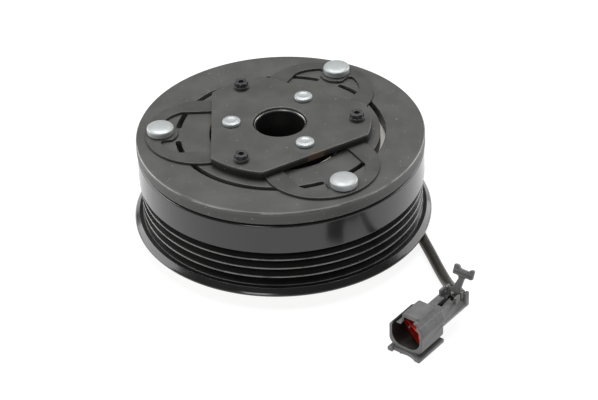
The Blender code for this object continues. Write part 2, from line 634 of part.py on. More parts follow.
def build_bearing(fixed, spinning, cage_axis):
    """Deep-groove ball bearing: the outer ring turns with the pulley, the inner stands still."""
    bottom = BEARING_TOP - BEARING_HEIGHT
    middle = (BEARING_TOP + bottom) / 2
    outer = [(BEARING_OUTER, BEARING_TOP), (BEARING_OUTER, bottom), (OUTER_SHOULDER, bottom)]
    outer += list(reversed(race_arc(OUTER_SHOULDER, 1))) + [(OUTER_SHOULDER, BEARING_TOP)]
    add_piece("bearing_outer_ring", ring_mesh("bearing_outer_ring", outer), "bare_steel", spinning)
    inner = [(BEARING_BORE, BEARING_TOP), (INNER_SHOULDER, BEARING_TOP)]
    inner += race_arc(INNER_SHOULDER, -1) + [(INNER_SHOULDER, bottom), (BEARING_BORE, bottom)]
    add_piece("bearing_inner_ring", ring_mesh("bearing_inner_ring", inner), "bare_steel", fixed)

    for name, height in (("bearing_seal_top", BEARING_TOP - 0.0009),
                         ("bearing_seal_bottom", bottom + 0.0001)):
        seal = [(OUTER_SHOULDER - 0.0001, height + 0.0008), (OUTER_SHOULDER - 0.0001, height),
                (INNER_SHOULDER + 0.0003, height), (INNER_SHOULDER + 0.0003, height + 0.0008)]
        add_piece(name, ring_mesh(name, seal), "seal_rubber", spinning)

    snap_top = bottom - 2 * FLUSH_GAP
    snap = [(BEARING_OUTER + 0.0010, snap_top), (BEARING_OUTER + 0.0010, snap_top - SNAP_RING_HEIGHT),
            (BEARING_OUTER - 0.0012, snap_top - SNAP_RING_HEIGHT), (BEARING_OUTER - 0.0012, snap_top)]
    add_piece("bearing_snap_ring", ring_mesh("bearing_snap_ring", snap), "bare_steel", spinning)

    cage_in, cage_out = INNER_SHOULDER + 0.0003, OUTER_SHOULDER - 0.0003
    cage = [(cage_out, middle - 0.0005), (cage_out, middle - 0.0036),
            (cage_in, middle - 0.0036), (cage_in, middle - 0.0005)]
    cage_piece = add_piece("bearing_cage", ring_mesh("bearing_cage", cage, 2 * BALL_COUNT),
                           "cage_brass", cage_axis)
    pocket = ball_mesh("ball_pocket", BALL_RADIUS + 0.00025, middle)
    places = [polar(BALL_REACH, 360.0 * index / BALL_COUNT) for index in range(BALL_COUNT)]
    apply_tool(cage_piece, "ball_pockets",
               merge_meshes("ball_pockets", [pocket] * BALL_COUNT, places), "DIFFERENCE", cage_axis)
    ball = ball_mesh("ball", BALL_RADIUS, middle)
    for number, place in enumerate(places, 1):
        piece = add_piece(f"ball_{number:02d}", ball, "ball_steel", cage_axis)
        piece.location = place


def ball_mesh(name, radius, height):
    """A ball at the given height on the axis."""
    bm = bmesh.new()
    bmesh.ops.create_icosphere(bm, subdivisions=2, radius=radius)
    bmesh.ops.translate(bm, verts=bm.verts, vec=(0, 0, height))
    return finish_mesh(name, bm, 60.0)


# ---------------------------------------------------------------- fixed side
def build_coil(fixed):
    """The field coil: steel housing, bobbin, winding and potting."""
    floor_top = COIL_BOTTOM + COIL_FLOOR
    wall_out = COIL_OUTER - COIL_OUTER_WALL
    wall_in = COIL_INNER + COIL_INNER_WALL
    housing = [(COIL_OUTER, COIL_TOP), (COIL_OUTER, COIL_BOTTOM), (COIL_INNER, COIL_BOTTOM),
               (COIL_INNER, COIL_TOP), (wall_in, COIL_TOP), (wall_in, floor_top),
               (wall_out, floor_top), (wall_out, COIL_TOP)]
    shell = add_piece("coil_housing", ring_mesh("coil_housing", housing, RIM_SIDES),
                      "coil_paint", fixed)
    stub = gland_stub(COIL_BOTTOM - 0.001, floor_top + 0.001, 0.0003)
    apply_tool(shell, "lead_hole", stub, "DIFFERENCE", fixed)

    bobbin_in, bobbin_out = wall_in + FLUSH_GAP, wall_out - FLUSH_GAP
    low, high = floor_top + FLUSH_GAP, COIL_TOP - 0.0022
    wall = 0.0007
    bobbin = [(bobbin_out, high), (bobbin_out, high - wall), (bobbin_in + wall, high - wall),
              (bobbin_in + wall, low + wall), (bobbin_out, low + wall), (bobbin_out, low),
              (bobbin_in, low), (bobbin_in, high)]
    add_piece("coil_bobbin", ring_mesh("coil_bobbin", bobbin), "bobbin_nylon", fixed)
    turn_in, turn_out = bobbin_in + wall + FLUSH_GAP, bobbin_out - 0.0005
    turn_low, turn_high = low + wall + FLUSH_GAP, high - wall - FLUSH_GAP
    winding = [(turn_out, turn_high), (turn_out, turn_low), (turn_in, turn_low), (turn_in, turn_high)]
    add_piece("coil_winding", ring_mesh("coil_winding", winding), "copper", fixed)
    fill_low, fill_high = high + FLUSH_GAP, COIL_TOP - 0.0004
    potting = [(bobbin_out, fill_high), (bobbin_out, fill_low),
               (bobbin_in, fill_low), (bobbin_in, fill_high)]
    add_piece("coil_potting", ring_mesh("coil_potting", potting), "potting", fixed)


def gland_point(forward, outward):
    """A point in the gland's own plan: forward along the lead, outward from the axis."""
    side = Vector((-LEAD_HEADING.y, LEAD_HEADING.x, 0.0))
    return LEAD_EXIT.xy + LEAD_HEADING.xy * forward + side.xy * outward


def gland_stub(low, high, clearance):
    """The round stub that carries the lead up through the coil housing's floor."""
    radius = 0.0015 + clearance
    stub = turned_mesh("gland_stub", [(0.0, high), (radius, high), (radius, low), (0.0, low)])
    place = gland_point(-GLAND_LENGTH / 2, -GLAND_INWARD + 0.0023)
    return merge_meshes("gland_stub", [stub], [(place.x, place.y, 0.0)])


def gland_outline(clearance, forward):
    """Plan of the gland block, or of the notch that it lies in."""
    back, front = -GLAND_LENGTH - clearance, forward
    inward, outward = -GLAND_INWARD - clearance, GLAND_OUTWARD + clearance
    corners = [(front, inward), (front, outward), (back, outward), (back, inward)]
    return [tuple(gland_point(along, across)) for along, across in corners]


def build_mounting_plate(fixed):
    """The plate that carries the coil, its pilot ring, and the pin that stops it turning."""
    profile = [(PLATE_RADIUS, PLATE_TOP), (PLATE_RADIUS, PLATE_UNDERSIDE),
               (PILOT_OUTER, PLATE_UNDERSIDE), (PILOT_OUTER, 0.0), (PILOT_INNER, 0.0),
               (PILOT_INNER, PLATE_TOP)]
    plate = add_piece("coil_mounting_plate", ring_mesh("coil_mounting_plate", profile, RIM_SIDES),
                      "plated_steel", fixed)
    notch = plate_mesh("gland_notch", [gland_outline(0.0003, 0.010)], 0.0005, PLATE_TOP + 0.001)
    apply_tool(plate, "gland_notch", notch, "DIFFERENCE", fixed)
    pin_place = polar(0.0370, 150.0)
    pin_radius = 0.0016
    hole = turned_mesh("pin_hole", [(0.0, 0.006), (pin_radius + 0.0002, 0.006),
                                    (pin_radius + 0.0002, 0.001), (0.0, 0.001)])
    apply_tool(plate, "pin_hole", merge_meshes("pin_hole", [hole], [pin_place]),
               "DIFFERENCE", fixed)
    pin = turned_mesh("locating_pin", [(0.0, PLATE_TOP), (pin_radius, PLATE_TOP),
                                       (pin_radius, 0.0009), (pin_radius - 0.0004, 0.0004),
                                       (0.0, 0.0004)])
    add_piece("locating_pin", pin, "bare_steel", fixed).location = pin_place


def build_gland(fixed):
    """The moulded gland that the lead leaves the coil through."""
    bm = plate_bmesh([gland_outline(0.0, 0.0)], GLAND_BOTTOM, GLAND_TOP)
    upright = [edge for edge in bm.edges if abs(edge.verts[0].co.z - edge.verts[1].co.z) > 0.001]
    bmesh.ops.bevel(bm, geom=upright, affect="EDGES", offset=0.0012, segments=2,
                    profile=0.5, material=-1)
    gland = add_piece("lead_gland", finish_mesh("lead_gland", bm), "rubber", fixed)
    apply_tool(gland, "gland_stub", gland_stub(GLAND_TOP - 0.001, COIL_BOTTOM + COIL_FLOOR, 0.0),
               "UNION", fixed)


def smooth_route(points, samples):
    """Read evenly spaced points from a smooth curve through the route's points."""
    knots = [Vector(point) for point in points]
    knots = [2 * knots[0] - knots[1]] + knots + [2 * knots[-1] - knots[-2]]
    dense = []
    for index in range(1, len(knots) - 2):
        before, start, end, after = knots[index - 1:index + 3]
        for step in range(12):
            t = step / 12
            dense.append(0.5 * (2 * start + (end - before) * t
                                + (2 * before - 5 * start + 4 * end - after) * t ** 2
                                + (3 * start - before - 3 * end + after) * t ** 3))
    dense.append(knots[-2])
    reach = [0.0]
    for a, b in zip(dense, dense[1:]):
        reach.append(reach[-1] + (b - a).length)
    even = []
    for sample in range(samples):
        target = reach[-1] * sample / (samples - 1)
        after = next(i for i, length in enumerate(reach) if length >= target - 1e-12)
        before = max(after - 1, 0)
        span = reach[after] - reach[before]
        even.append(dense[before].lerp(dense[after], (target - reach[before]) / span if span else 0.0))
    return even


def add_tube(name, points, radius, finish, parent):
    """A round cord along a row of points, with filled ends."""
    curve = bpy.data.curves.new(name, "CURVE")
    curve.dimensions = "3D"
    curve.bevel_depth = radius
    curve.bevel_resolution = 2
    curve.use_fill_caps = True
    spline = curve.splines.new("POLY")
    spline.points.add(len(points) - 1)
    for slot, point in zip(spline.points, points):
        slot.co = (*point, 1.0)
    curve.materials.append(MATERIALS[finish])
    tube = bpy.data.objects.new(name, curve)
    bpy.context.scene.collection.objects.link(tube)
    tube.parent = parent


def build_lead(fixed, connector):
    """The sleeved lead, and the two wires that go on from its end into the connector."""
    route = smooth_route(LEAD_ROUTE, LEAD_SAMPLES)
    start = route[0] + LEAD_HEADING * 0.0003
    add_tube("lead_sleeve", [start] + route[1:], LEAD_RADIUS, "sleeve", fixed)
    turn = math.radians(CONNECTOR_TURN)
    offset = route[-1] - CONNECTOR_PLACE
    end_along = offset.x * math.cos(turn) + offset.y * math.sin(turn) - 0.0003
    for number, side in ((1, 0.5), (2, -0.5)):
        across = TROUGH_MIDDLE + side * WIRE_SPACING
        steps = 4
        points = []
        for step in range(steps + 1):
            share = step / steps
            along = end_along + (HOOD_BACK + 0.0003 - end_along) * share
            points.append((along, across, LEAD_ROUTE[-1][2] - 0.0008 * share))
        add_tube(f"wire_{number}", points, WIRE_RADIUS, "wire", connector)


def build_connector(connector):
    """The plastic connector: hood, lock housing, rear trough, hook and mounting rail."""
    hood = rounded_rectangle(-HOOD_HALF_WIDTH, HOOD_HALF_WIDTH, HOOD_BOTTOM, HOOD_TOP, HOOD_CORNER)
    housing = add_piece("connector_housing",
                        lengthwise_mesh("connector_housing", hood, HOOD_FRONT, HOOD_BACK),
                        "connector_plastic", connector)
    lock = rounded_rectangle(LOCK_RIGHT, LOCK_LEFT, HOOD_TOP - 0.003, LOCK_TOP, 0.0006, 2)
    joined = [
        ("lock_block", lengthwise_mesh("lock_block", lock, LOCK_FRONT, LOCK_BACK)),
        ("neck", box_mesh("neck", (HOOD_BACK - 0.001, NECK_RIGHT, NECK_BOTTOM),
                          (NECK_BACK, NECK_LEFT, NECK_TOP))),
        ("hook", box_mesh("hook", (NECK_BACK - 0.0014, NECK_RIGHT - 0.0003, NECK_BOTTOM + 0.001),
                          (NECK_BACK + 0.0007, NECK_RIGHT + 0.0011, HOOK_TOP))),
        ("rail_web", box_mesh("rail_web", (HOOD_FRONT, -RAIL_WEB_HALF_WIDTH, RAIL_THICKNESS / 2),
                              (HOOD_BACK - 0.0007, RAIL_WEB_HALF_WIDTH, HOOD_BOTTOM + 0.001))),
        ("rail", box_mesh("rail", (0.0, -RAIL_HALF_WIDTH, 0.0),
                          (RAIL_BACK, RAIL_HALF_WIDTH, RAIL_THICKNESS))),
    ]
    for name, wall in (("ear_left", TROUGH_MIDDLE + TROUGH_HALF_WIDTH),
                       ("ear_right", TROUGH_MIDDLE - TROUGH_HALF_WIDTH - EAR_WIDTH)):
        ear = box_mesh(name, (FLAP_HINGE.x - EAR_HALF_LENGTH, wall, NECK_TOP - 0.001),
                       (FLAP_HINGE.x + EAR_HALF_LENGTH, wall + EAR_WIDTH, EAR_TOP))
        joined.append((name, ear))
    for name, mesh in joined:
        apply_tool(housing, name, mesh, "UNION", connector)
    mouth = rounded_rectangle(-MOUTH_HALF_WIDTH, MOUTH_HALF_WIDTH, MOUTH_BOTTOM, MOUTH_TOP,
                              MOUTH_CORNER, 4)
    pin_height = (MOUTH_BOTTOM + MOUTH_TOP) / 2
    pin_gap = PIN_HALF + 0.0002
    holes = [box_mesh("pin_hole", (HOOD_FRONT + MOUTH_DEPTH - 0.001, side * PIN_SPACING - pin_gap,
                                   pin_height - pin_gap),
                      (HOOD_BACK - 0.0008, side * PIN_SPACING + pin_gap, pin_height + pin_gap))
             for side in (-0.5, 0.5)]
    cuts = [
        ("mouth", lengthwise_mesh("mouth", mouth, HOOD_FRONT - 0.001, HOOD_FRONT + MOUTH_DEPTH)),
        ("lock_bay", box_mesh("lock_bay", (LOCK_FRONT - 0.001, LOCK_RIGHT + 0.0008, MOUTH_TOP - 0.001),
                              (LOCK_BACK - 0.002, LOCK_LEFT - 0.0008, LOCK_TOP - 0.0008))),
        ("trough", box_mesh("trough", (HOOD_BACK + 0.0001, TROUGH_MIDDLE - TROUGH_HALF_WIDTH,
                                       TROUGH_FLOOR),
                            (NECK_BACK + 0.001, TROUGH_MIDDLE + TROUGH_HALF_WIDTH,
                             NECK_TOP + 0.001))),
        ("pin_holes", merge_meshes("pin_holes", holes)),
    ]
    for name, mesh in cuts:
        apply_tool(housing, name, mesh, "DIFFERENCE", connector)

    for number, side in ((1, 0.5), (2, -0.5)):
        across = side * PIN_SPACING
        pin = box_mesh(f"terminal_{number}",
                       (HOOD_FRONT + 0.0048, across - PIN_HALF, pin_height - PIN_HALF),
                       (HOOD_BACK - 0.0010, across + PIN_HALF, pin_height + PIN_HALF))
        add_piece(f"terminal_{number}", pin, "terminal_tin", connector)

    build_connector_seal(connector)


def build_connector_seal(connector):
    """The red seal that lines the mouth."""
    gap, wall = 0.0002, 0.0008
    outer = rounded_rectangle(-MOUTH_HALF_WIDTH + gap, MOUTH_HALF_WIDTH - gap, MOUTH_BOTTOM + gap,
                              MOUTH_TOP - gap - 0.0001, MOUTH_CORNER - gap, 4)
    inner = rounded_rectangle(-MOUTH_HALF_WIDTH + gap + wall, MOUTH_HALF_WIDTH - gap - wall,
                              MOUTH_BOTTOM + gap + wall, MOUTH_TOP - gap - wall - 0.0001,
                              MOUTH_CORNER - gap - wall, 4)
    bm = plate_bmesh([outer, inner], 0.0, 0.0052)
    for vert in bm.verts:
        across, up, along = vert.co
        vert.co = Vector((HOOD_FRONT + 0.0034 + along, across, up))
    add_piece("connector_seal", finish_mesh("connector_seal", bm), "red_silicone", connector)


def build_connector_flap(connector):
    """The strain-relief flap, standing open: an arm, a cross bar and two claws, on a hinge."""
    hinge = add_axis("flap_hinge", FLAP_HINGE)
    hinge.parent = connector
    half_foot, half_arm, half_bar = FLAP_FOOT_WIDTH / 2, FLAP_ARM_WIDTH / 2, FLAP_BAR_WIDTH / 2
    half = FLAP_THICKNESS / 2
    bar_low = FLAP_LENGTH - FLAP_BAR_HEIGHT
    tip = FLAP_LENGTH + FLAP_CLAW
    right = [(half_foot, -half), (half_foot, half), (half_arm, half), (half_arm, bar_low),
             (half_bar, bar_low), (half_bar, tip), (half_bar - 0.0010, tip),
             (half_bar - 0.0016, FLAP_LENGTH)]
    left = [(-across, up) for across, up in reversed(right)]
    flap = add_piece("connector_flap", lengthwise_mesh("connector_flap", right + left, -half, half),
                     "connector_plastic", hinge)
    flap.rotation_euler.y = math.radians(FLAP_LEAN)


# ---------------------------------------------------------------- the whole clutch
def main():
    """Build every piece under the empties that stand on the joints' axes."""
    clear_scene()
    for name, (colour, roughness, metallic) in FINISHES.items():
        MATERIALS[name] = make_material(name, colour, roughness, metallic)
    fixed = add_axis("fixed_axis")
    pulley_axis = add_axis("pulley_axis")
    cage_axis = add_axis("cage_axis")
    hub_axis = add_axis("hub_axis")
    armature_axis = add_axis("armature_axis")
    connector = add_axis("connector_frame", CONNECTOR_PLACE, CONNECTOR_TURN)

    build_armature(armature_axis)
    build_armature_rivets(armature_axis)
    build_leaf_springs(hub_axis)
    build_hub_plate(hub_axis)
    build_hub_rivets(hub_axis)
    build_bumpers(hub_axis)
    build_hub_boss(hub_axis)
    build_rotor(pulley_axis)
    build_pulley_rim(pulley_axis)
    build_bearing(fixed, pulley_axis, cage_axis)
    build_coil(fixed)
    build_mounting_plate(fixed)
    build_gland(fixed)
    build_lead(fixed, connector)
    build_connector(connector)
    build_connector_flap(connector)


main()
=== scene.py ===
"""Electromagnetic clutch of a car air-conditioning compressor: its fine surfaces and finishes.

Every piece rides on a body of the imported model, with +Z up along the clutch's axis. Meshes are
made in millimetres, and fit_piece brings them to the model's metres. Finishes are in metres.
The classes are the clutch's sub-assemblies, from the lead and its connector to the hub.
"""

import logging
import math
from dataclasses import dataclass, field
from enum import Enum, IntEnum
from typing import Iterable, Sequence

import bmesh
import bpy
from mathutils import Matrix, Vector


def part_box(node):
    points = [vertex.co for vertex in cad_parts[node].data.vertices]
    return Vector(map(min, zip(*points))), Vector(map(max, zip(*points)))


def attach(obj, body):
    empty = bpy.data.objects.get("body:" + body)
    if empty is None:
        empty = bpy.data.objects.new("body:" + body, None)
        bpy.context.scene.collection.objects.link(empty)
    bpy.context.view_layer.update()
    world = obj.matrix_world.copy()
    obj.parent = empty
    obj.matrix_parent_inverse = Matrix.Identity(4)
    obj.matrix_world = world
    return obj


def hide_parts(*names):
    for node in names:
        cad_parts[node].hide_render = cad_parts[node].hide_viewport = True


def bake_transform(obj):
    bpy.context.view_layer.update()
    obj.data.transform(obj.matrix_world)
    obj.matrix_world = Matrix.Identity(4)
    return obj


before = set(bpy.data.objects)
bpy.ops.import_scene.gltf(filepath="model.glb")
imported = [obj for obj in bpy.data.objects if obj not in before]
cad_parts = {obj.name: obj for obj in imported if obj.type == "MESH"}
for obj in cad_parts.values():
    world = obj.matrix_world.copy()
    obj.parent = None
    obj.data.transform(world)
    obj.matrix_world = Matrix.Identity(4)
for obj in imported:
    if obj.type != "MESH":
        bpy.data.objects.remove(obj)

LOG = logging.getLogger("clutch")
MM = 0.001
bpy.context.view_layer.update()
LOBES = (60.0, 180.0, 300.0)
CORNERS = (0.0, 120.0, 240.0)
LARGE_RIVET_REACH = 42.0
SMALL_RIVET_REACH = 17.0

Point = tuple[float, float]
Outline = list[Point]
Corners = Sequence[tuple[float, ...]]
Colour = tuple[float, float, float]


class Body(Enum):
    """The rigid bodies of the clutch that the pieces ride on."""

    FIXED = "coil_assembly"
    FLAP = "connector_flap"
    PULLEY = "pulley"
    CAGE = "bearing_cage"
    HUB = "hub"
    ARMATURE = "armature"


class Round(IntEnum):
    """How many steps a full turn has, by the size of the piece."""

    LARGE = 192
    MEDIUM = 128
    DOME = 48
    SMALL = 40
    TINY = 24


# ------------------------------------------------------------------ shader maths
class Signal:
    """A shader socket that is calculated with in plain expressions."""

    def __init__(self, recipe: "Recipe", socket: bpy.types.NodeSocket) -> None:
        """Wrap an output socket of a recipe's node tree."""
        self.recipe, self.socket = recipe, socket

    def math(self, operation: str, *values: object) -> "Signal":
        """Return a Math node's result for some values or signals."""
        return self.recipe.add("ShaderNodeMath", {"operation": operation}, dict(enumerate(values)))

    def __add__(self, other: object) -> "Signal":
        """Return self + other."""
        return self.math("ADD", self, other)

    def __sub__(self, other: object) -> "Signal":
        """Return self - other."""
        return self.math("SUBTRACT", self, other)

    def __rsub__(self, other: object) -> "Signal":
        """Return other - self."""
        return self.math("SUBTRACT", other, self)

    def __mul__(self, other: object) -> "Signal":
        """Return self * other."""
        return self.math("MULTIPLY", self, other)

    def __pow__(self, other: object) -> "Signal":
        """Return self to the power of other."""
        return self.math("POWER", self, other)

    def size(self) -> "Signal":
        """Return the absolute value."""
        return self.math("ABSOLUTE", self)

    def ramp(self, low: float, high: float) -> "Signal":
        """Return a smooth step from 0 at low to 1 at high, or the other way round.

        Args:
            low: the value that gives 0.
            high: the value that gives 1.

        Returns:
            The smooth step.
        """
        settings = {"interpolation_type": "SMOOTHSTEP"}
        if low < high:
            return self.recipe.add("ShaderNodeMapRange", settings, {0: self, 1: low, 2: high})
        return 1 - self.recipe.add("ShaderNodeMapRange", settings, {0: self, 1: high, 2: low})


class Recipe:
    """The node tree of one material, with one method that makes every node."""

    def __init__(self, name: str) -> None:
        """Start a material with its Principled shader.

        Args:
            name: the material's name.
        """
        self.material = bpy.data.materials.new(name)
        self.material.use_nodes = True
        self.tree = self.material.node_tree
        self.shader = self.tree.nodes["Principled BSDF"]

    def add(self, kind: str, settings: dict | None = None, inputs: dict | None = None,
            output: int | str = 0) -> Signal:
        """Make a node.

        Args:
            kind: the node's type.
            settings: its own settings.
            inputs: values or signals by socket.
            output: the socket to return.

        Returns:
            The chosen output.
        """
        node = self.tree.nodes.new(kind)
        for key, value in (settings or {}).items():
            setattr(node, key, value)
        for key, value in (inputs or {}).items():
            if isinstance(value, Signal):
                self.tree.links.new(value.socket, node.inputs[key])
            else:
                node.inputs[key].default_value = value
        return Signal(self, node.outputs[output])

    def set(self, socket: str, value: object) -> None:
        """Set one of the shader's sockets to a constant."""
        self.shader.inputs[socket].default_value = value

    def drive(self, socket: str, signal: Signal) -> None:
        """Feed one of the shader's sockets from a signal."""
        self.tree.links.new(signal.socket, self.shader.inputs[socket])

    def place(self) -> tuple[Signal, Signal, Signal, Signal]:
        """Return the object's coordinates as a vector and as x, y and z."""
        vector = self.add("ShaderNodeTexCoord", output="Object")
        return (vector, *(self.add("ShaderNodeSeparateXYZ", {}, {0: vector}, i) for i in range(3)))

    def reach(self) -> Signal:
        """Return the distance from the clutch's axis."""
        _, x, y, _ = self.place()
        return (x * x + y * y) ** 0.5

    def noise(self, vector: Signal, cell: float, detail: float = 3.0,
              roughness: float = 0.5) -> Signal:
        """Return a noise from 0 to 1.

        Args:
            vector: where it is read.
            cell: the size of its grains in metres.
            detail: how many finer layers it has.
            roughness: how strong the finer layers are.

        Returns:
            The noise.
        """
        inputs = {"Vector": vector, "Scale": 1 / cell, "Detail": detail, "Roughness": roughness}
        return self.add("ShaderNodeTexNoise", {"noise_dimensions": "3D"}, inputs, "Fac")

    def blend(self, share: Signal | float, first: object, second: object) -> Signal:
        """Return a colour between two colours or signals, for a share from 0 to 1."""
        first, second = (c if isinstance(c, Signal) else (*c, 1.0) for c in (first, second))
        return self.add("ShaderNodeMix", {"data_type": "RGBA"}, {0: share, 6: first, 7: second}, 2)


# ------------------------------------------------------------------ finishes
@dataclass(frozen=True)
class Finish:
    """A finish with a fine grain: the base of every other finish.

    Attributes:
        name: the material's name.
        slot: the material slot of the solids that it belongs to, if any.
        colour: its main colour.
        tint: the colour that it drifts to in patches.
        roughness: how matt it is.
        spread: how much the roughness drifts.
        metallic: how metallic it is.
        coat: how much clear coat lies on it.
        grain: the size of its grain in metres.
        depth: the depth of its grain in metres.
    """

    name: str
    slot: str
    colour: Colour
    tint: Colour
    roughness: float = 0.5
    spread: float = 0.1
    metallic: float = 0.0
    coat: float = 0.0
    grain: float = 0.4 * MM
    depth: float = 0.01 * MM

    def make(self) -> bpy.types.Material:
        """Make the finish's material.

        Returns:
            The material.
        """
        recipe = Recipe(self.name)
        recipe.set("Coat Weight", self.coat)
        recipe.set("Coat Roughness", 0.12)
        recipe.set("Metallic", self.metallic)
        colour, patches, height = self.layers(recipe)
        recipe.drive("Base Color", self.overlay(recipe, colour))
        recipe.drive("Roughness", patches * self.spread + self.roughness - self.spread / 2)
        bump = {"Strength": 1.0, "Distance": self.depth, "Height": height}
        recipe.drive("Normal", recipe.add("ShaderNodeBump", {}, bump, "Normal"))
        return recipe.material

    def layers(self, recipe: Recipe) -> tuple[Signal, Signal, Signal]:
        """Make the finish's layers.

        Args:
            recipe: the material that is being made.

        Returns:
            Its colour, the drift of its roughness, and its height.
        """
        vector, *_ = recipe.place()
        patches = recipe.noise(vector, 14 * self.grain, 4.0).ramp(0.35, 0.65)
        fine = recipe.noise(vector, self.grain, 3.0, 0.6)
        return recipe.blend(patches, self.colour, self.tint), patches, fine

    def overlay(self, recipe: Recipe, colour: Signal) -> Signal:
        """Return the colour with the finish's own marks laid over it."""
        return colour


@dataclass(frozen=True)
class StampedSteel(Finish):
    """Black phosphated sheet steel: fine grain, pale specks, a worn band with a painted highlight
    along the top outer edge, and painted shade low on the side walls.

    Attributes:
        speck_and_sheen: the colour of its specks and of the worn band with a painted highlight on
            its edge.
        specks: how many specks there are, from 0 to 1.
        sheen_and_wear_reach: the distance from the axis where the top edge gets wear and a painted
            highlight, or 0.
        sheen_and_wear_height: the height of that worn, highlighted edge.
        painted_shade_height: the height below which the side walls get painted shade, or 0.
        painted_shade_strength: how dark the painted shade on the side walls is.
    """

    speck_and_sheen: Colour = (0.5, 0.5, 0.48)
    specks: float = 0.5
    sheen_and_wear_reach: float = 0.0
    sheen_and_wear_height: float = 0.0
    painted_shade_height: float = 0.0
    painted_shade_strength: float = 0.0

    def layers(self, recipe: Recipe) -> tuple[Signal, Signal, Signal]:
        """Make the finish's layers, as Finish.layers says."""
        vector, _, _, z = recipe.place()
        patches = recipe.noise(vector, 9 * MM, 5.0, 0.6).ramp(0.3, 0.7)
        fine = recipe.noise(vector, self.grain, 4.0, 0.7)
        dots = recipe.noise(vector, 0.9 * MM, 1.0).ramp(0.76 - 0.05 * self.specks, 0.80)
        colour = recipe.blend(patches, self.colour, self.tint)
        colour = recipe.blend(fine.ramp(0.45, 0.75) * 0.5, colour, self.tint)
        # Painted shade: below this height the side walls are blended towards near black, as the
        # shade under the top edge.
        if self.painted_shade_height:
            below = z.ramp(self.painted_shade_height, self.painted_shade_height - 1.2 * MM) * self.painted_shade_strength
            colour = recipe.blend(below, colour, (0.012, 0.012, 0.012))
        marks = dots * 0.45
        # Pale band along the top outer edge: partly wear, partly a painted highlight of the rounded
        # edge.
        if self.sheen_and_wear_reach:
            near = recipe.reach().ramp(self.sheen_and_wear_reach - 0.55 * MM, self.sheen_and_wear_reach - 0.2 * MM)
            level = (z - self.sheen_and_wear_height).size().ramp(0.3 * MM, 0.08 * MM)
            worn = recipe.noise(vector, 9 * MM, 4.0).ramp(0.3, 0.65)
            marks = marks + near * level * worn * 0.55
        return recipe.blend(marks, colour, self.speck_and_sheen), patches, fine


@dataclass(frozen=True)
class ShearedPlate(StampedSteel):
    """The hub plate's finish: as the sheet's, with a bare brownish shear mark on each flat.

    Attributes:
        flat: the distance from the axis to each flat.
        mark: half the width of each bare mark.
        bare: the mark's colour.
    """

    flat: float = 24.0 * MM
    mark: float = 3.2 * MM
    bare: Colour = (0.13, 0.085, 0.055)

    def overlay(self, recipe: Recipe, colour: Signal) -> Signal:
        """Lay the bare marks over the coat.

        Args:
            recipe: the material that is being made.
            colour: the coat's colour.

        Returns:
            The colour with the marks.
        """
        vector, x, y, _ = recipe.place()
        ragged = (recipe.noise(vector, 1.2 * MM, 3.0) - 0.5) * (2.4 * MM)
        for turn in map(math.radians, LOBES):
            outward = x * math.cos(turn) + y * math.sin(turn)
            along = y * math.cos(turn) - x * math.sin(turn)
            side = outward.ramp(self.flat - 0.25 * MM, self.flat - 0.1 * MM)
            middle = (along + ragged).size().ramp(self.mark + 0.4 * MM, self.mark - 0.4 * MM)
            colour = recipe.blend(side * middle * 0.9, colour, self.bare)
        return colour


@dataclass(frozen=True)
class TurnedSteel(Finish):
    """Steel that was turned on a lathe: its grain runs round the clutch's axis.

    Attributes:
        spacing: the distance between the turning marks in metres.
    """

    spacing: float = 0.12 * MM

    def layers(self, recipe: Recipe) -> tuple[Signal, Signal, Signal]:
        """Make the finish's layers, as Finish.layers says."""
        vector, _, _, z = recipe.place()
        patches = recipe.noise(vector, 11 * MM, 4.0).ramp(0.3, 0.7)
        along = recipe.add("ShaderNodeCombineXYZ", {}, {0: recipe.reach(), 1: z})
        marks = recipe.noise(along, self.spacing, 2.0)
        fine = recipe.noise(vector, self.grain, 2.0)
        colour = recipe.blend(patches * 0.5 + marks * 0.5, self.colour, self.tint)
        return colour, patches, marks * 0.7 + fine * 0.3


@dataclass(frozen=True)
class BoredSteel(TurnedSteel):
    """Near-black steel whose bore ends in a chamfer with a painted highlight ring.

    Attributes:
        chamfer: the height above which the painted highlight lies.
        bare: the colour of the painted highlight on the chamfer.
    """

    chamfer: float = 40.8 * MM
    bare: Colour = (0.34, 0.33, 0.31)

    def overlay(self, recipe: Recipe, colour: Signal) -> Signal:
        """Paint a highlight ring on the chamfer over the black.

        Args:
            recipe: the material that is being made.
            colour: the black.

        Returns:
            The colour with the painted highlight on the chamfer.
        """
        *_, z = recipe.place()
        # Painted highlight: a pale metallic ring on the chamfer stands in for glints at the bore's
        # lip.
        bright = z.ramp(self.chamfer - 0.05 * MM, self.chamfer + 0.05 * MM)
        recipe.drive("Metallic", bright * (1 - self.metallic) + self.metallic)
        return recipe.blend(bright, colour, self.bare)


@dataclass(frozen=True)
class RibbedCoat(TurnedSteel):
    """The pulley's glossy black coat, rubbed pale along the tips of its ribs.

    Attributes:
        tip: the distance from the axis to the ribs' tips.
        band_foot: the height of the smooth band's lower edge, below which the ribs start.
        rubbed: the colour of the rubbed tips.
    """

    tip: float = 50.0 * MM
    band_foot: float = 21.0 * MM
    rubbed: Colour = (0.32, 0.32, 0.31)

    def overlay(self, recipe: Recipe, colour: Signal) -> Signal:
        """Lay the rubbed tips over the coat.

        Args:
            recipe: the material that is being made.
            colour: the coat's colour.

        Returns:
            The colour with the tips.
        """
        vector, _, _, z = recipe.place()
        crest = recipe.reach().ramp(self.tip - 0.3 * MM, self.tip - 0.05 * MM)
        beyond = recipe.reach().ramp(self.tip + 0.2 * MM, self.tip + 0.05 * MM)
        below = z.ramp(self.band_foot, self.band_foot - 0.5 * MM)
        worn = recipe.noise(vector, 8 * MM, 4.0).ramp(0.2, 0.6)
        return recipe.blend(crest * beyond * below * worn * 0.5, colour, self.rubbed)


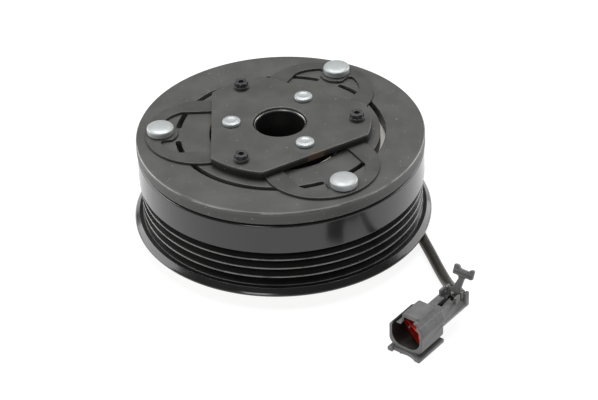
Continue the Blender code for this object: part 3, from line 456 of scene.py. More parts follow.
@dataclass(frozen=True)
class Braid(Finish):
    """A woven sleeve: two crossing sets of yarns, which follow the piece's own map.

    Attributes:
        turns: yarns round the sleeve.
        repeats: how often the weave repeats along its length.
    """

    turns: float = 14.0
    repeats: float = 60.0

    def layers(self, recipe: Recipe) -> tuple[Signal, Signal, Signal]:
        """Make the finish's layers, as Finish.layers says."""
        flat = recipe.add("ShaderNodeTexCoord", output="UV")
        round_it, along = (recipe.add("ShaderNodeSeparateXYZ", {}, {0: flat}, axis)
                           for axis in range(2))
        yarns = []
        for lean in (1.0, -1.0):
            phase = round_it * self.turns + along * (self.repeats * lean)
            yarns.append((phase.math("PINGPONG", phase, 0.5) * 2.0) ** 0.7)
        weave = yarns[0].math("MAXIMUM", *yarns)
        vector, *_ = recipe.place()
        fuzz = recipe.noise(vector, 0.25 * MM, 4.0, 0.7)
        patches = recipe.noise(vector, 6 * MM, 4.0).ramp(0.3, 0.7)
        colour = recipe.blend(patches * 0.6 + fuzz * 0.4, self.colour, self.tint)
        return colour, patches, weave * 0.75 + fuzz * 0.25


@dataclass(frozen=True)
class Moulded(Finish):
    """Moulded plastic: a soft grain, with flow streaks of another shade."""

    def layers(self, recipe: Recipe) -> tuple[Signal, Signal, Signal]:
        """Make the finish's layers, as Finish.layers says."""
        vector, *_ = recipe.place()
        stretched = recipe.add("ShaderNodeMapping", {}, {"Vector": vector, "Scale": (1, 1, 0.3)})
        flow = recipe.noise(stretched, 3.5 * MM, 5.0, 0.6).ramp(0.3, 0.7)
        fine = recipe.noise(vector, self.grain, 3.0, 0.6)
        return recipe.blend(flow, self.colour, self.tint), flow, fine


class Look(Enum):
    """Every finish on the clutch."""

    # Armature disc: painted shade low on its side wall, and a worn band with a painted highlight on
    # its top outer edge.
    SHEET = StampedSteel("phosphated_sheet", "phosphated_steel",
                         (0.078, 0.078, 0.075), (0.092, 0.092, 0.088), 0.45, 0.08, 0.25,
                         grain=0.22 * MM, depth=0.012 * MM, sheen_and_wear_reach=50.8 * MM,
                         sheen_and_wear_height=37.72 * MM, painted_shade_height=37.5 * MM, painted_shade_strength=0.4)
    # Hub plate: painted shade on its side walls below the top, strongly darkened.
    HUB_SHEET = ShearedPlate("phosphated_hub_plate", "phosphated_steel",
                             (0.078, 0.078, 0.075), (0.090, 0.090, 0.086), 0.42, 0.08, 0.25,
                             grain=0.22 * MM, depth=0.012 * MM, specks=0.2,
                             painted_shade_height=41.6 * MM, painted_shade_strength=0.85)
    # Splined hub: near black all over, with a painted highlight ring on the bore's chamfer.
    HUB_BLACK = BoredSteel("near_black_hub", "", (0.010, 0.010, 0.010), (0.018, 0.018, 0.017),
                           0.4, 0.1, 0.2, depth=0.008 * MM)
    SPRING = StampedSteel("spring_steel", "spring_steel",
                          (0.070, 0.070, 0.068), (0.084, 0.084, 0.081), 0.4, 0.08, 0.3,
                          grain=0.3 * MM, depth=0.008 * MM, specks=0.2)
    COAT = RibbedCoat("pulley_coat", "pulley_coating",
                      (0.008, 0.008, 0.008), (0.013, 0.013, 0.0125), 0.2, 0.08, 0.0, 0.35,
                      grain=0.5 * MM, depth=0.006 * MM, spacing=0.35 * MM)
    # Bare machined friction face, its colour raised past the steel's own tone as painted light,
    # since it lies in shade under the armature.
    FACE = TurnedSteel("friction_face", "", (0.80, 0.78, 0.75), (0.68, 0.66, 0.62),
                       0.5, 0.1, 0.6, grain=0.3 * MM, spacing=0.25 * MM)
    ZINC = Finish("bright_zinc", "zinc", (0.47, 0.49, 0.49), (0.41, 0.43, 0.43),
                  0.48, 0.1, 0.5, grain=0.35 * MM, depth=0.02 * MM)
    RUBBER = Finish("black_rubber", "black_rubber", (0.032, 0.032, 0.032), (0.046, 0.046, 0.046),
                    0.42, 0.1, grain=0.25 * MM, depth=0.012 * MM)
    BARE = TurnedSteel("ground_steel", "bare_steel", (0.62, 0.62, 0.61), (0.5, 0.5, 0.49),
                       0.26, 0.08, 1.0, depth=0.005 * MM)
    BALL = Finish("polished_ball", "ball_steel", (0.78, 0.78, 0.78), (0.72, 0.72, 0.72),
                  0.06, 0.02, 1.0, depth=0.0005 * MM)
    LINING = Finish("friction_lining", "lining", (0.16, 0.12, 0.085), (0.30, 0.24, 0.18),
                    0.9, 0.1, grain=0.45 * MM, depth=0.09 * MM)
    BRASS = TurnedSteel("cage_brass", "cage_brass", (0.70, 0.52, 0.24), (0.58, 0.42, 0.20),
                        0.3, 0.1, 1.0)
    SEAL = Finish("seal_rubber", "seal_rubber", (0.10, 0.035, 0.02), (0.13, 0.05, 0.03),
                  0.55, 0.1, grain=0.3 * MM)
    COIL_PAINT = Finish("coil_paint", "coil_paint", (0.02, 0.02, 0.021), (0.032, 0.032, 0.033),
                        0.38, 0.12, 0.0, 0.2, grain=0.6 * MM, depth=0.015 * MM)
    YELLOW_ZINC = Finish("yellow_zinc", "plated_steel", (0.62, 0.52, 0.30), (0.56, 0.42, 0.34),
                         0.32, 0.1, 1.0, grain=0.5 * MM)
    NYLON = Moulded("bobbin_nylon", "bobbin_nylon", (0.62, 0.58, 0.46), (0.68, 0.64, 0.53))
    COPPER = TurnedSteel("enamelled_copper", "copper", (0.50, 0.17, 0.07), (0.62, 0.26, 0.11),
                         0.28, 0.1, 0.9, 0.4)
    RESIN = Finish("potting_resin", "potting", (0.012, 0.012, 0.014), (0.02, 0.02, 0.022),
                   0.3, 0.15, grain=2 * MM, depth=0.08 * MM)
    SLEEVE = Braid("woven_sleeve", "sleeve", (0.020, 0.017, 0.014), (0.038, 0.034, 0.028),
                   0.42, 0.1, 0.0, 0.15, depth=0.05 * MM)
    WIRE = Finish("wire_insulation", "wire", (0.012, 0.012, 0.012), (0.02, 0.02, 0.02), 0.35)
    PLASTIC = Moulded("connector_plastic", "connector_plastic",
                      (0.105, 0.105, 0.104), (0.145, 0.143, 0.142), 0.42, 0.12,
                      grain=0.22 * MM, depth=0.012 * MM)
    # Painted shade: near-black plastic for the walls deep inside the connector's mouth and lock
    # bay.
    MOUTH_SHADE = Moulded("connector_cavity_painted_shade", "", (0.006, 0.005, 0.005), (0.010, 0.008, 0.008))
    SILICONE = Finish("red_silicone", "red_silicone", (0.50, 0.022, 0.012), (0.36, 0.014, 0.01),
                      0.4, 0.1, grain=0.3 * MM)
    TIN = Finish("tinned_brass", "terminal_tin", (0.72, 0.68, 0.58), (0.62, 0.57, 0.47),
                 0.28, 0.1, 1.0)


MATERIALS: dict[Look, bpy.types.Material] = {}


def finish_of(look: Look) -> bpy.types.Material:
    """Return a look's material, which is made once."""
    if look not in MATERIALS:
        MATERIALS[look] = look.value.make()
    return MATERIALS[look]


# ------------------------------------------------------------------ outlines
def arc(radius: float, start: float, end: float, steps: int, centre: Point = (0.0, 0.0)) -> Outline:
    """Return an arc's points, both ends among them, from its angles in degrees."""
    turns = [math.radians(start + (end - start) * i / steps) for i in range(steps + 1)]
    return [(centre[0] + radius * math.cos(t), centre[1] + radius * math.sin(t)) for t in turns]


def circle(radius: float, steps: int, centre: Point = (0.0, 0.0)) -> Outline:
    """Return a circle's points, anticlockwise."""
    return arc(radius, 0.0, 360.0, steps, centre)[:-1]


def polar(reach: float, degrees: float) -> Point:
    """Return the point at a distance and a direction from the axis."""
    turn = math.radians(degrees)
    return (reach * math.cos(turn), reach * math.sin(turn))


def turned(outline: Iterable[Point], degrees: float) -> Outline:
    """Return an outline turned about the axis."""
    cos, sin = polar(1.0, degrees)
    return [(x * cos - y * sin, x * sin + y * cos) for x, y in outline]


def ring_corners(inner: float, outer: float, low: float, high: float, upper: float,
                 lower: float) -> Corners:
    """Return a ring's section, from its radii, its heights and the rounds at its edges."""
    return [(outer, high, upper), (outer, low, lower), (inner, low, lower), (inner, high, upper)]


def rounded(corners: Corners, closed: bool = True, steps: int = 4, hold: float = 0.12) -> Outline:
    """Round an outline's corners, and hold the flats beside them flat.

    Args:
        corners: each corner's place and, if it is rounded, the radius of its round.
        closed: whether the outline closes on itself.
        steps: how many steps each round has.
        hold: how far past each round a flat gets an extra point.

    Returns:
        The rounded outline.
    """
    points: Outline = []
    count = len(corners)
    for index, (x, y, *rest) in enumerate(corners):
        here, radius = Vector((x, y)), rest[0] if rest else 0.0
        if radius == 0.0 or (not closed and index in (0, count - 1)):
            points.append((x, y))
            continue
        before = Vector(corners[index - 1][:2]) - here
        after = Vector(corners[(index + 1) % count][:2]) - here
        spare = [before.length, after.length]
        before.normalize()
        after.normalize()
        half = before.angle(after) / 2
        reach = radius / math.tan(half)
        middle = here + (before + after).normalized() * (radius / math.sin(half))
        first, last = here + before * reach - middle, here + after * reach - middle
        if spare[0] > reach + 4 * hold:
            points.append(tuple(here + before * (reach + hold)))
        for step in range(steps + 1):
            points.append(tuple(middle + first.slerp(last, step / steps) * radius))
        if spare[1] > reach + 4 * hold:
            points.append(tuple(here + after * (reach + hold)))
    return points


def inset_normals(outline: Outline) -> list[Vector]:
    """Say how an anticlockwise outline's points move when it shrinks by one.

    Args:
        outline: the outline.

    Returns:
        Each point's move.
    """
    normals = []
    for index, point in enumerate(outline):
        here = Vector(point)
        back = (here - Vector(outline[index - 1])).normalized()
        ahead = (Vector(outline[(index + 1) % len(outline)]) - here).normalized()
        left, right = Vector((-back.y, back.x)), Vector((-ahead.y, ahead.x))
        normals.append((left + right) / max(1.0 + left.dot(right), 0.3))
    return normals


# ------------------------------------------------------------------ meshes
def close_mesh(name: str, bm: bmesh.types.BMesh, weld: bool = True) -> bpy.types.Mesh:
    """Turn a bmesh into a closed mesh with outward faces and smooth rounds.

    Args:
        name: the mesh's name.
        bm: the bmesh, which is freed.
        weld: whether doubled points are merged.

    Returns:
        The mesh.
    """
    if weld:
        bmesh.ops.remove_doubles(bm, verts=bm.verts, dist=0.001)
    bmesh.ops.recalc_face_normals(bm, faces=bm.faces)
    if bm.calc_volume(signed=True) < 0:
        bmesh.ops.reverse_faces(bm, faces=bm.faces)
    mesh = bpy.data.meshes.new(name)
    bm.to_mesh(mesh)
    bm.free()
    mesh.shade_smooth()
    mesh.set_sharp_from_angle(angle=math.radians(40.0))
    return mesh


def turn_mesh(name: str, profile: Outline, steps: int,
              centre: Point | None = None) -> bpy.types.Mesh:
    """Spin a profile of (radius, height) points about a line.

    Args:
        name: the mesh's name.
        profile: a ring's section or, with a centre, an open profile that ends on the line.
        steps: steps in a full turn.
        centre: where the line stands; a ring's is the clutch's axis.

    Returns:
        The mesh.
    """
    bm = bmesh.new()
    corners = [bm.verts.new((radius, 0.0, height)) for radius, height in profile]
    pairs = list(zip(corners, corners[1:]))
    if centre is None:
        pairs.append((corners[-1], corners[0]))
    edges = [bm.edges.new(pair) for pair in pairs]
    bmesh.ops.spin(bm, geom=corners + edges, cent=(0, 0, 0), axis=(0, 0, 1),
                   angle=2 * math.pi, steps=steps, use_merge=True)
    bmesh.ops.translate(bm, verts=bm.verts, vec=(*(centre or (0.0, 0.0)), 0.0))
    return close_mesh(name, bm)


def lathe(name: str, corners: Corners, turns: int, centre: Point | None = None, steps: int = 4,
          hold: float = 0.12) -> bpy.types.Mesh:
    """Spin a profile given by its (radius, height, round) corners, as turn_mesh says."""
    return turn_mesh(name, rounded(corners, centre is None, steps, hold), turns, centre)


def drill(spot: Point, radius: float, low: float, high: float,
          steps: int = Round.SMALL) -> tuple[str, bpy.types.Mesh]:
    """Return the cut of a round hole, for combine."""
    profile = [(0.0, high), (radius, high), (radius, low), (0.0, low)]
    return "DIFFERENCE", turn_mesh("drill", profile, steps, spot)


def plate_mesh(name: str, outlines: Sequence[Outline], bottom: float, top: float,
               rounds: Sequence[float], steps: int = 3) -> bpy.types.Mesh:
    """Make a flat plate with holes, whose edges are rounded.

    Args:
        name: the mesh's name.
        outlines: the outer outline and then the holes, all anticlockwise.
        bottom: the height of its underside.
        top: the height of its top.
        rounds: the radius of the rounds along each outline.
        steps: how many steps each round has.

    Returns:
        The mesh.
    """
    bm = bmesh.new()
    caps: tuple[list, list] = ([], [])
    for index, (outline, radius) in enumerate(zip(outlines, rounds)):
        side = 1.0 if index == 0 else -1.0
        normals = [normal * side for normal in inset_normals(outline)]
        levels = edge_levels(bottom, top, radius, steps)
        corners = [bm.verts.new((0.0, 0.0, 0.0)) for _ in outline]
        edges = [bm.edges.new((a, b)) for a, b in zip(corners, corners[1:] + corners[:1])]
        move_loop(corners, outline, normals, levels[0])
        caps[0].extend(edges)
        for level in levels[1:]:
            corners, edges = extrude_loop(bm, corners, edges)
            move_loop(corners, outline, normals, level)
        caps[1].extend(edges)
    for cap in caps:
        bmesh.ops.triangle_fill(bm, edges=cap, use_beauty=True)
    return close_mesh(name, bm)


def edge_levels(bottom: float, top: float, radius: float, steps: int) -> list[Point]:
    """Say how far in and how high a plate's wall is, from its underside to its top.

    Args:
        bottom: the height of the underside.
        top: the height of the top.
        radius: the radius of the rounds.
        steps: how many steps each round has.

    Returns:
        Pairs of inset and height.
    """
    hold = min(radius, 0.08)
    lower = [(radius + hold, bottom)]
    for step in range(steps + 1):
        turn = math.radians(90.0 * step / steps)
        lower.append((radius * (1 - math.sin(turn)), bottom + radius * (1 - math.cos(turn))))
    if top - bottom > 2 * (radius + hold) + 0.1:
        lower.append((0.0, bottom + radius + hold))
    return lower + [(inset, top + bottom - height) for inset, height in reversed(lower)]


def extrude_loop(bm: bmesh.types.BMesh, loop: list, edges: list) -> tuple[list, list]:
    """Extrude a loop of edges.

    Args:
        bm: the bmesh.
        loop: the loop's vertices in order.
        edges: its edges.

    Returns:
        The new loop's vertices, in the same order, and its edges.
    """
    grown = bmesh.ops.extrude_edge_only(bm, edges=edges)["geom"]
    edges = [item for item in grown if isinstance(item, bmesh.types.BMEdge)]
    fresh = {vert for edge in edges for vert in edge.verts}
    matched = [next(edge.other_vert(vert) for edge in vert.link_edges
                    if edge.other_vert(vert) in fresh) for vert in loop]
    return matched, edges


def move_loop(corners: list, outline: Outline, normals: list[Vector], level: Point) -> None:
    """Put a loop of vertices at an inset and a height."""
    for vert, point, normal in zip(corners, outline, normals):
        vert.co = (point[0] + normal.x * level[0], point[1] + normal.y * level[0], level[1])


def lengthwise_mesh(name: str, outlines: Sequence[Outline], front: float, back: float,
                    rounds: Sequence[float]) -> bpy.types.Mesh:
    """Make a bar along X, as plate_mesh makes a plate, from outlines in (Y, Z).

    Args:
        name: the mesh's name.
        outlines: the outer outline and then the holes.
        front: where the bar starts.
        back: where it ends.
        rounds: the radius of the rounds along each outline.

    Returns:
        The mesh.
    """
    mesh = plate_mesh(name, outlines, front, back, rounds)
    mesh.transform(Matrix(((0, 0, 1, 0), (1, 0, 0, 0), (0, 1, 0, 0), (0, 0, 0, 1))))
    return mesh


def block_mesh(name: str, low: Sequence[float], high: Sequence[float],
               radius: float = 0.0) -> bpy.types.Mesh:
    """Make a block between two corners, with rounded edges.

    Args:
        name: the mesh's name.
        low: its lowest corner.
        high: its highest corner.
        radius: the radius of its edges.

    Returns:
        The mesh.
    """
    bm = bmesh.new()
    size = Vector(high) - Vector(low)
    bmesh.ops.create_cube(bm, size=1.0)
    bmesh.ops.scale(bm, verts=bm.verts, vec=size)
    bmesh.ops.translate(bm, verts=bm.verts, vec=Vector(low) + size / 2)
    if radius:
        bmesh.ops.bevel(bm, geom=bm.edges[:], affect="EDGES", offset=radius, segments=2,
                        profile=0.5, material=-1)
    return close_mesh(name, bm)


def combine(name: str, base: bpy.types.Mesh, tools: Sequence[tuple[str, bpy.types.Mesh]],
            ease: float = 0.0) -> bpy.types.Mesh:
    """Join tools to a mesh or cut them out of it, one after the other.

    Args:
        name: the result's name.
        base: the mesh to start from.
        tools: pairs of a Boolean operation and a mesh.
        ease: the width of a small bevel on what is still sharp, or 0.

    Returns:
        The result, as one mesh.
    """
    helpers = [bpy.data.objects.new(f"{name}_tool", mesh) for _, mesh in tools]
    body = bpy.data.objects.new(f"{name}_body", base)
    for helper in helpers + [body]:
        bpy.context.scene.collection.objects.link(helper)
    for helper, (operation, _) in zip(helpers, tools):
        modifier = body.modifiers.new("tool", "BOOLEAN")
        modifier.operation, modifier.solver, modifier.object = operation, "EXACT", helper
    if ease:
        modifier = body.modifiers.new("ease", "BEVEL")
        modifier.width, modifier.segments = ease, 2
        modifier.limit_method, modifier.angle_limit = "ANGLE", math.radians(40.0)
        modifier.use_clamp_overlap = True
    graph = bpy.context.evaluated_depsgraph_get()
    mesh = bpy.data.meshes.new_from_object(body.evaluated_get(graph))
    mesh.name = name
    for helper in helpers + [body]:
        bpy.data.objects.remove(helper)
    mesh.materials.clear()
    mesh.shade_smooth()
    mesh.set_sharp_from_angle(angle=math.radians(35.0))
    return mesh


def tube_mesh(name: str, path: Sequence[Vector], radii: Sequence[float],
              sides: int) -> bpy.types.Mesh:
    """Sweep a circle along a path, with a map that runs round and along the tube.

    Args:
        name: the mesh's name.
        path: the centre line.
        radii: the tube's radius at each point of it.
        sides: how many sides the circle has.

    Returns:
        The mesh, with both ends closed.
    """
    bm = bmesh.new()
    layer = bm.loops.layers.uv.new("UVMap")
    loop = bmesh.ops.create_circle(bm, segments=sides, radius=1.0)["verts"]
    edges = bm.edges[:]
    rings: dict = {}
    ahead = path[1] - path[0]
    turn = ahead.to_track_quat("Z", "Y")
    length = 0.0
    for index, (point, radius) in enumerate(zip(path, radii)):
        after = path[min(index + 1, len(path) - 1)] - path[max(index - 1, 0)]
        turn = ahead.rotation_difference(after) @ turn
        ahead = after
        if index:
            length += (point - path[index - 1]).length
            loop, edges = extrude_loop(bm, loop, edges)
        for step, vert in enumerate(loop):
            spoke = Vector((*polar(radius, 360.0 * step / sides), 0.0))
            vert.co = point + turn @ spoke
            rings[vert] = (step / sides, length)
    for end in (0.0, length):
        rim = [vert for vert, (_, reach) in rings.items() if reach == end]
        bmesh.ops.contextual_create(bm, geom=rim)
    for face in bm.faces:
        turns = [rings[corner.vert][0] for corner in face.loops]
        for corner, place in zip(face.loops, turns):
            wrapped = place + 1.0 if max(turns) - place > 0.5 else place
            corner[layer].uv = (wrapped, rings[corner.vert][1] / length)
    return close_mesh(name, bm, weld=False)


def fit_piece(name: str, mesh: bpy.types.Mesh, body: Body | None, look: Look,
              node: str) -> bpy.types.Object:
    """Bring a finished mesh to metres and put it on the clutch.

    Args:
        name: the piece's name.
        mesh: its mesh, in place.
        body: the body that it rides on, or None for one that is left on no body.
        look: its finish.
        node: the solid that it stands for.

    Returns:
        The piece.
    """
    mesh.transform(Matrix.Scale(MM, 4))
    piece = bpy.data.objects.new(name, mesh)
    bpy.context.scene.collection.objects.link(piece)
    mesh.materials.clear()
    mesh.materials.append(finish_of(look))
    if body:
        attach(piece, body.value)
    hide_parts(node)
    LOG.info("%s: %d faces on %s", name, len(mesh.polygons), body.value if body else "two bodies")
    return piece


def heights(node: str) -> tuple[float, float]:
    """Return the lowest and the highest point of a solid."""
    low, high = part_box(node)
    return low[2] / MM, high[2] / MM


def reach_of(node: str) -> float:
    """Return how far a round solid reaches along X from the axis."""
    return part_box(node)[1][0] / MM


# ------------------------------------------------------------------ the lead
def smooth_route(points: Corners, samples: int) -> list[Vector]:
    """Read evenly spaced points from a smooth curve through a route's points.

    Args:
        points: the route.
        samples: how many points to read.

    Returns:
        The points.
    """
    knots = [Vector(point) for point in points]
    knots = [2 * knots[0] - knots[1]] + knots + [2 * knots[-1] - knots[-2]]
    dense = []
    for index in range(1, len(knots) - 2):
        before, start, end, after = knots[index - 1:index + 3]
        for step in range(12):
            t = step / 12
            dense.append(0.5 * (2 * start + (end - before) * t
                                + (2 * before - 5 * start + 4 * end - after) * t ** 2
                                + (3 * start - before - 3 * end + after) * t ** 3))
    dense.append(knots[-2])
    reach = [0.0]
    for a, b in zip(dense, dense[1:]):
        reach.append(reach[-1] + (b - a).length)
    even = []
    for sample in range(samples):
        target = reach[-1] * sample / (samples - 1)
        after = next(i for i, length in enumerate(reach) if length >= target - 1e-9)
        before = max(after - 1, 0)
        span = reach[after] - reach[before]
        share = (target - reach[before]) / span if span else 0
        even.append(dense[before].lerp(dense[after], share))
    return even


@dataclass
class Lead:
    """The sleeved lead from the coil, its gland, and the two wires that go on from it.

    Attributes:
        radius: the sleeve's radius.
        wire_radius: each wire's radius.
        wire_spacing: the distance between the wires.
        heading: the direction in which it leaves the gland.
        route: the sleeve's route, from the gland to the connector's trough.
    """

    radius: float = 2.0
    wire_radius: float = 0.9
    wire_spacing: float = 2.4
    heading: Vector = field(default_factory=lambda: Vector((0.24, -0.971, 0.0)).normalized())
    route: Corners = ((46.5, -8.0, 2.05), (47.9, -14.0, 2.05), (49.5, -20.5, 2.05),
                      (51.4, -28.0, 2.05), (53.2, -35.5, 2.05), (54.8, -42.0, 2.3),
                      (56.0, -47.2, 3.2), (57.2, -51.8, 4.8), (58.3, -56.0, 6.8),
                      (58.6, -59.4, 8.3), (57.6, -62.2, 9.1), (55.7, -64.25, 9.25))
    pieces: list = field(default_factory=list)

    def beside(self, along: float, across: float) -> Point:
        """Return a spot near the gland's exit, along the heading and to its left."""
        left = Vector((-self.heading.y, self.heading.x))
        return tuple(Vector(self.route[0]).xy + self.heading.xy * along + left * across)

    def build(self, connector: "Connector") -> None:
        """Build the sleeve, the wires and the gland.

        Args:
            connector: the connector that the wires run into.
        """
        path = smooth_route(self.route, 72)
        path[0] = path[0] + self.heading * 0.3
        length = sum((b - a).length for a, b in zip(path, path[1:]))
        waist = [math.sin(math.pi * index / (len(path) - 1)) ** 2 for index in range(len(path))]
        radii = [self.radius * (1.0 - 0.03 * share) for share in waist]
        mesh = tube_mesh("lead_sleeve_skin", path, radii, Round.TINY)
        sleeve = fit_piece("lead_sleeve_skin", mesh, Body.FIXED, Look.SLEEVE, "lead_sleeve")
        self.build_wires(path[-1], connector)
        self.build_gland()
        path = [tuple(point * MM) for point in path]

    def build_wires(self, end: Vector, connector: "Connector") -> None:
        """Build the two wires between the sleeve's end and the connector's body.

        Args:
            end: the sleeve's end.
            connector: the connector that they run into.
        """
        start = connector.frame_matrix().inverted() @ end
        run = start.x - connector.hood_back + 0.2
        for number, side in ((1, 0.5), (2, -0.5)):
            path = []
            for step in range(13):
                share = step / 12
                spread = 0.6 + 0.4 * math.sin(math.pi * min(share * 1.4, 1.0) / 2)
                across = connector.trough_middle + side * self.wire_spacing * spread
                sag = 0.8 * share + 0.25 * math.sin(math.pi * share)
                spot = Vector((start.x + 0.2 - run * share, across, start.z - sag))
                path.append(connector.frame_matrix() @ spot)
            mesh = tube_mesh(f"lead_wire_{number}", path, [self.wire_radius] * len(path), 16)
            self.pieces.append(fit_piece(f"lead_wire_{number}", mesh, Body.FIXED, Look.WIRE,
                                         f"wire_{number}"))

    def build_gland(self) -> None:
        """Build the moulded gland, with the stub that goes up into the coil."""
        top = heights("lead_gland")[1]
        corners = [(*self.beside(along, across), 1.4) for along, across in
                   ((0.0, -8.5), (0.0, 3.0), (-9.8, 3.0), (-9.8, -8.5))]
        block = plate_mesh("gland_block", [rounded(corners, steps=6)], 0.3, 3.9, [0.45])
        stub = lathe("gland_post", [(0.0, top), (1.5, top, 0.3), (1.5, 3.0), (0.0, 3.0)],
                     Round.TINY, self.beside(-4.9, -6.2))
        self.pieces.append(fit_piece("gland", combine("gland", block, [("UNION", stub)]),
                                     Body.FIXED, Look.RUBBER, "lead_gland"))


# ------------------------------------------------------------------ the connector
@dataclass
class Connector:
    """The two-way plastic connector, with its lock, its rear trough and its flap.

    Lengths are in its own frame: along from the mouth to the rear, across to the left, and up.

    Attributes:
        corner: where its own frame stands.
        turn: the direction from its mouth to its rear, in degrees.
        hood_front: where the hood starts.
        hood_back: where the hood ends and the neck starts.
        trough_middle: the middle of the trough that the sleeve ends in.
        pin_spacing: the distance between the terminals.
        hinge: the middle of the flap's hinge.
        lean: how far the open flap leans back, in degrees.
    """

    corner: tuple[float, float, float] = (38.28, -81.66, 0.0)
    turn: float = 51.0
    hood_front: float = 1.5
    hood_back: float = 14.0
    trough_middle: float = -2.6
    pin_spacing: float = 4.2
    hinge: tuple[float, float, float] = (26.2, -2.6, 12.6)
    lean: float = 23.0
    pieces: list = field(default_factory=list)

    def frame_matrix(self) -> Matrix:
        """Return the matrix from the connector's own frame to the clutch's."""
        return Matrix.Translation(self.corner) @ Matrix.Rotation(math.radians(self.turn), 4, "Z")

    def build(self) -> None:
        """Build the housing, its seal, the terminals and the flap."""
        parts = [("connector_body", self.housing_mesh(), Look.PLASTIC, "connector_housing"),
                 ("mouth_seal", self.seal_mesh(), Look.SILICONE, "connector_seal")]
        for number, side in ((1, 0.5), (2, -0.5)):
            parts.append((f"pin_{number}", self.pin_mesh(side * self.pin_spacing), Look.TIN,
                          f"terminal_{number}"))
        parts.append(("strain_flap", self.flap_mesh(), Look.PLASTIC, "connector_flap"))
        for name, mesh, look, node in parts:
            mesh.transform(self.frame_matrix())
            body = Body.FLAP if node == "connector_flap" else Body.FIXED
            self.pieces.append(fit_piece(name, mesh, body, look, node))
        self.darken_mouth(self.pieces[0].data)

    @staticmethod
    def mouth_outline(shrink: float) -> Outline:
        """Return the mouth's outline in (across, up), shrunk all round."""
        half, low, high = 5.6 - shrink, 3.0 + shrink, 11.9 - shrink
        return rounded([(-half, low, 4.2 - shrink), (half, low, 4.2 - shrink),
                        (half, high, 2.0 - shrink), (-half, high, 2.0 - shrink)], steps=8)

    def housing_mesh(self) -> bpy.types.Mesh:
        """Make the housing: hood, lock block, rail, neck, trough, ears and hook.

        Returns:
            The mesh.
        """
        front, back = self.hood_front, self.hood_back
        bars = (
            ("hood", front, back, 0.3, 6,
             [(-6.5, 2.2, 2.2), (6.8, 2.2, 2.6), (6.8, 10.3, 1.2), (3.4, 12.2, 0.8),
              (-5.6, 13.0, 0.8), (-6.5, 11.8, 0.5)]),
            ("lock", 3.2, 12.2, 0.3, 4,
             [(-4.0, 10.0), (3.0, 10.0), (2.7, 14.6, 0.5), (1.9, 15.3, 0.5), (-3.4, 15.3, 0.6),
              (-4.2, 14.6, 0.5)]),
            ("shoulder", front + 0.15, back - 0.2, 0.2, 4,
             [(-3.0, 8.9), (-3.0, 14.3), (-4.1, 14.5, 0.4), (-7.15, 10.1, 0.5),
              (-7.15, 8.9, 0.3)]),
            ("neck", 12.5, 27.5, 0.25, 4,
             [(-6.3, 6.4, 0.6), (1.6, 6.4, 0.6), (1.6, 11.4, 0.5), (0.9, 11.9, 0.4),
              (-4.9, 11.9, 0.7), (-7.1, 8.7, 0.7)]),
        )
        base, *joined = (lengthwise_mesh(name, [rounded(corners, steps=steps)], start, end, [edge])
                         for name, start, end, edge, steps, corners in bars)
        blocks = [("hook", (26.2, -7.1, 7.4), (28.2, -5.9, 13.0), 0.35),
                  ("rail_web", (1.7, -4.6, 0.9), (13.2, 4.6, 3.2), 0.0),
                  ("rail", (0.0, -6.5, 0.0), (14.4, 6.5, 1.45), 0.25),
                  ("rear_web", (13.6, -4.6, 3.4), (16.5, -0.6, 8.0), 0.4)]
        for across, top in ((-6.1, 13.4), (-0.1, 14.2)):
            blocks.append(("ear", (25.1, across, 10.8), (27.3, across + 1.0, 13.6), 0.3))
            blocks.append(("cheek", (21.6, across, 10.8), (24.4, across + 1.0, top), 0.3))
        joined += [block_mesh(*block) for block in blocks]
        cuts = [("lock_bay", (0.0, -4.3, 9.0), (11.0, 1.9, 13.7)),
                ("trough", (back + 0.1, -5.1, 7.0), (29.0, -0.1, 10.3)),
                ("slit", (17.0, -3.6, 10.0), (22.5, -1.6, 14.0)),
                ("clamp", (21.6, -5.1, 10.0), (29.0, -0.1, 15.5)),
                ("left_notch", (-1.0, 2.0, -1.0), (1.2, 4.6, 2.0))]
        for side in (-0.5, 0.5):
            middle, height, half = side * self.pin_spacing, 7.45, 0.7
            cuts.append(("pin_hole", (front + 8.0, middle - half, height - half),
                         (back - 0.8, middle + half, height + half)))
        mouth = lengthwise_mesh("mouth", [self.mouth_outline(0.0)], 0.0, front + 9.0, [0.0])
        tools = [("UNION", mesh) for mesh in joined] + [("DIFFERENCE", mouth)]
        tools += [("DIFFERENCE", block_mesh(*cut)) for cut in cuts]
        tools.append(drill((-6.2, -0.5), 7.5, -1.0, 3.0, Round.DOME))
        return combine("connector_body", base, tools, 0.12)

    def darken_mouth(self, mesh: bpy.types.Mesh) -> None:
        """Paint shade on the walls deep inside the mouth and the lock bay, with a near-black
        material.

        Args:
            mesh: the housing's mesh, in place.
        """
        # Painted shade on the recessed walls inside the mouth and lock bay.
        mesh.materials.append(finish_of(Look.MOUTH_SHADE))
        inward = self.frame_matrix().inverted()
        for face in mesh.polygons:
            along, across, up = inward @ (face.center / MM)
            deep = self.hood_front + 0.25 < along < self.hood_back - 0.5
            in_mouth = abs(across) < 5.65 and 2.9 < up < 11.95
            in_bay = -4.35 < across < 1.95 and 2.9 < up < 13.75
            if deep and (in_mouth or in_bay):
                face.material_index = 1

    def seal_mesh(self) -> bpy.types.Mesh:
        """Make the seal that lines the mouth, with its slanted front.

        Returns:
            The mesh.
        """
        start = self.hood_front + 0.5
        outlines = [self.mouth_outline(0.2), self.mouth_outline(0.9)]
        bm = bmesh.new()
        bm.from_mesh(lengthwise_mesh("mouth_seal", outlines, start, start + 7.6, [0.25, 0.25]))
        cut = bmesh.ops.bisect_plane(bm, geom=bm.verts[:] + bm.edges[:] + bm.faces[:],
                                     plane_co=(start + 0.6, -5.0, 7.0), clear_inner=True,
                                     plane_no=Vector((1.0, -0.55, 0.35)).normalized())
        rims = [item for item in cut["geom_cut"] if isinstance(item, bmesh.types.BMEdge)]
        bmesh.ops.triangle_fill(bm, edges=rims, use_beauty=True)
        return close_mesh("mouth_seal", bm)

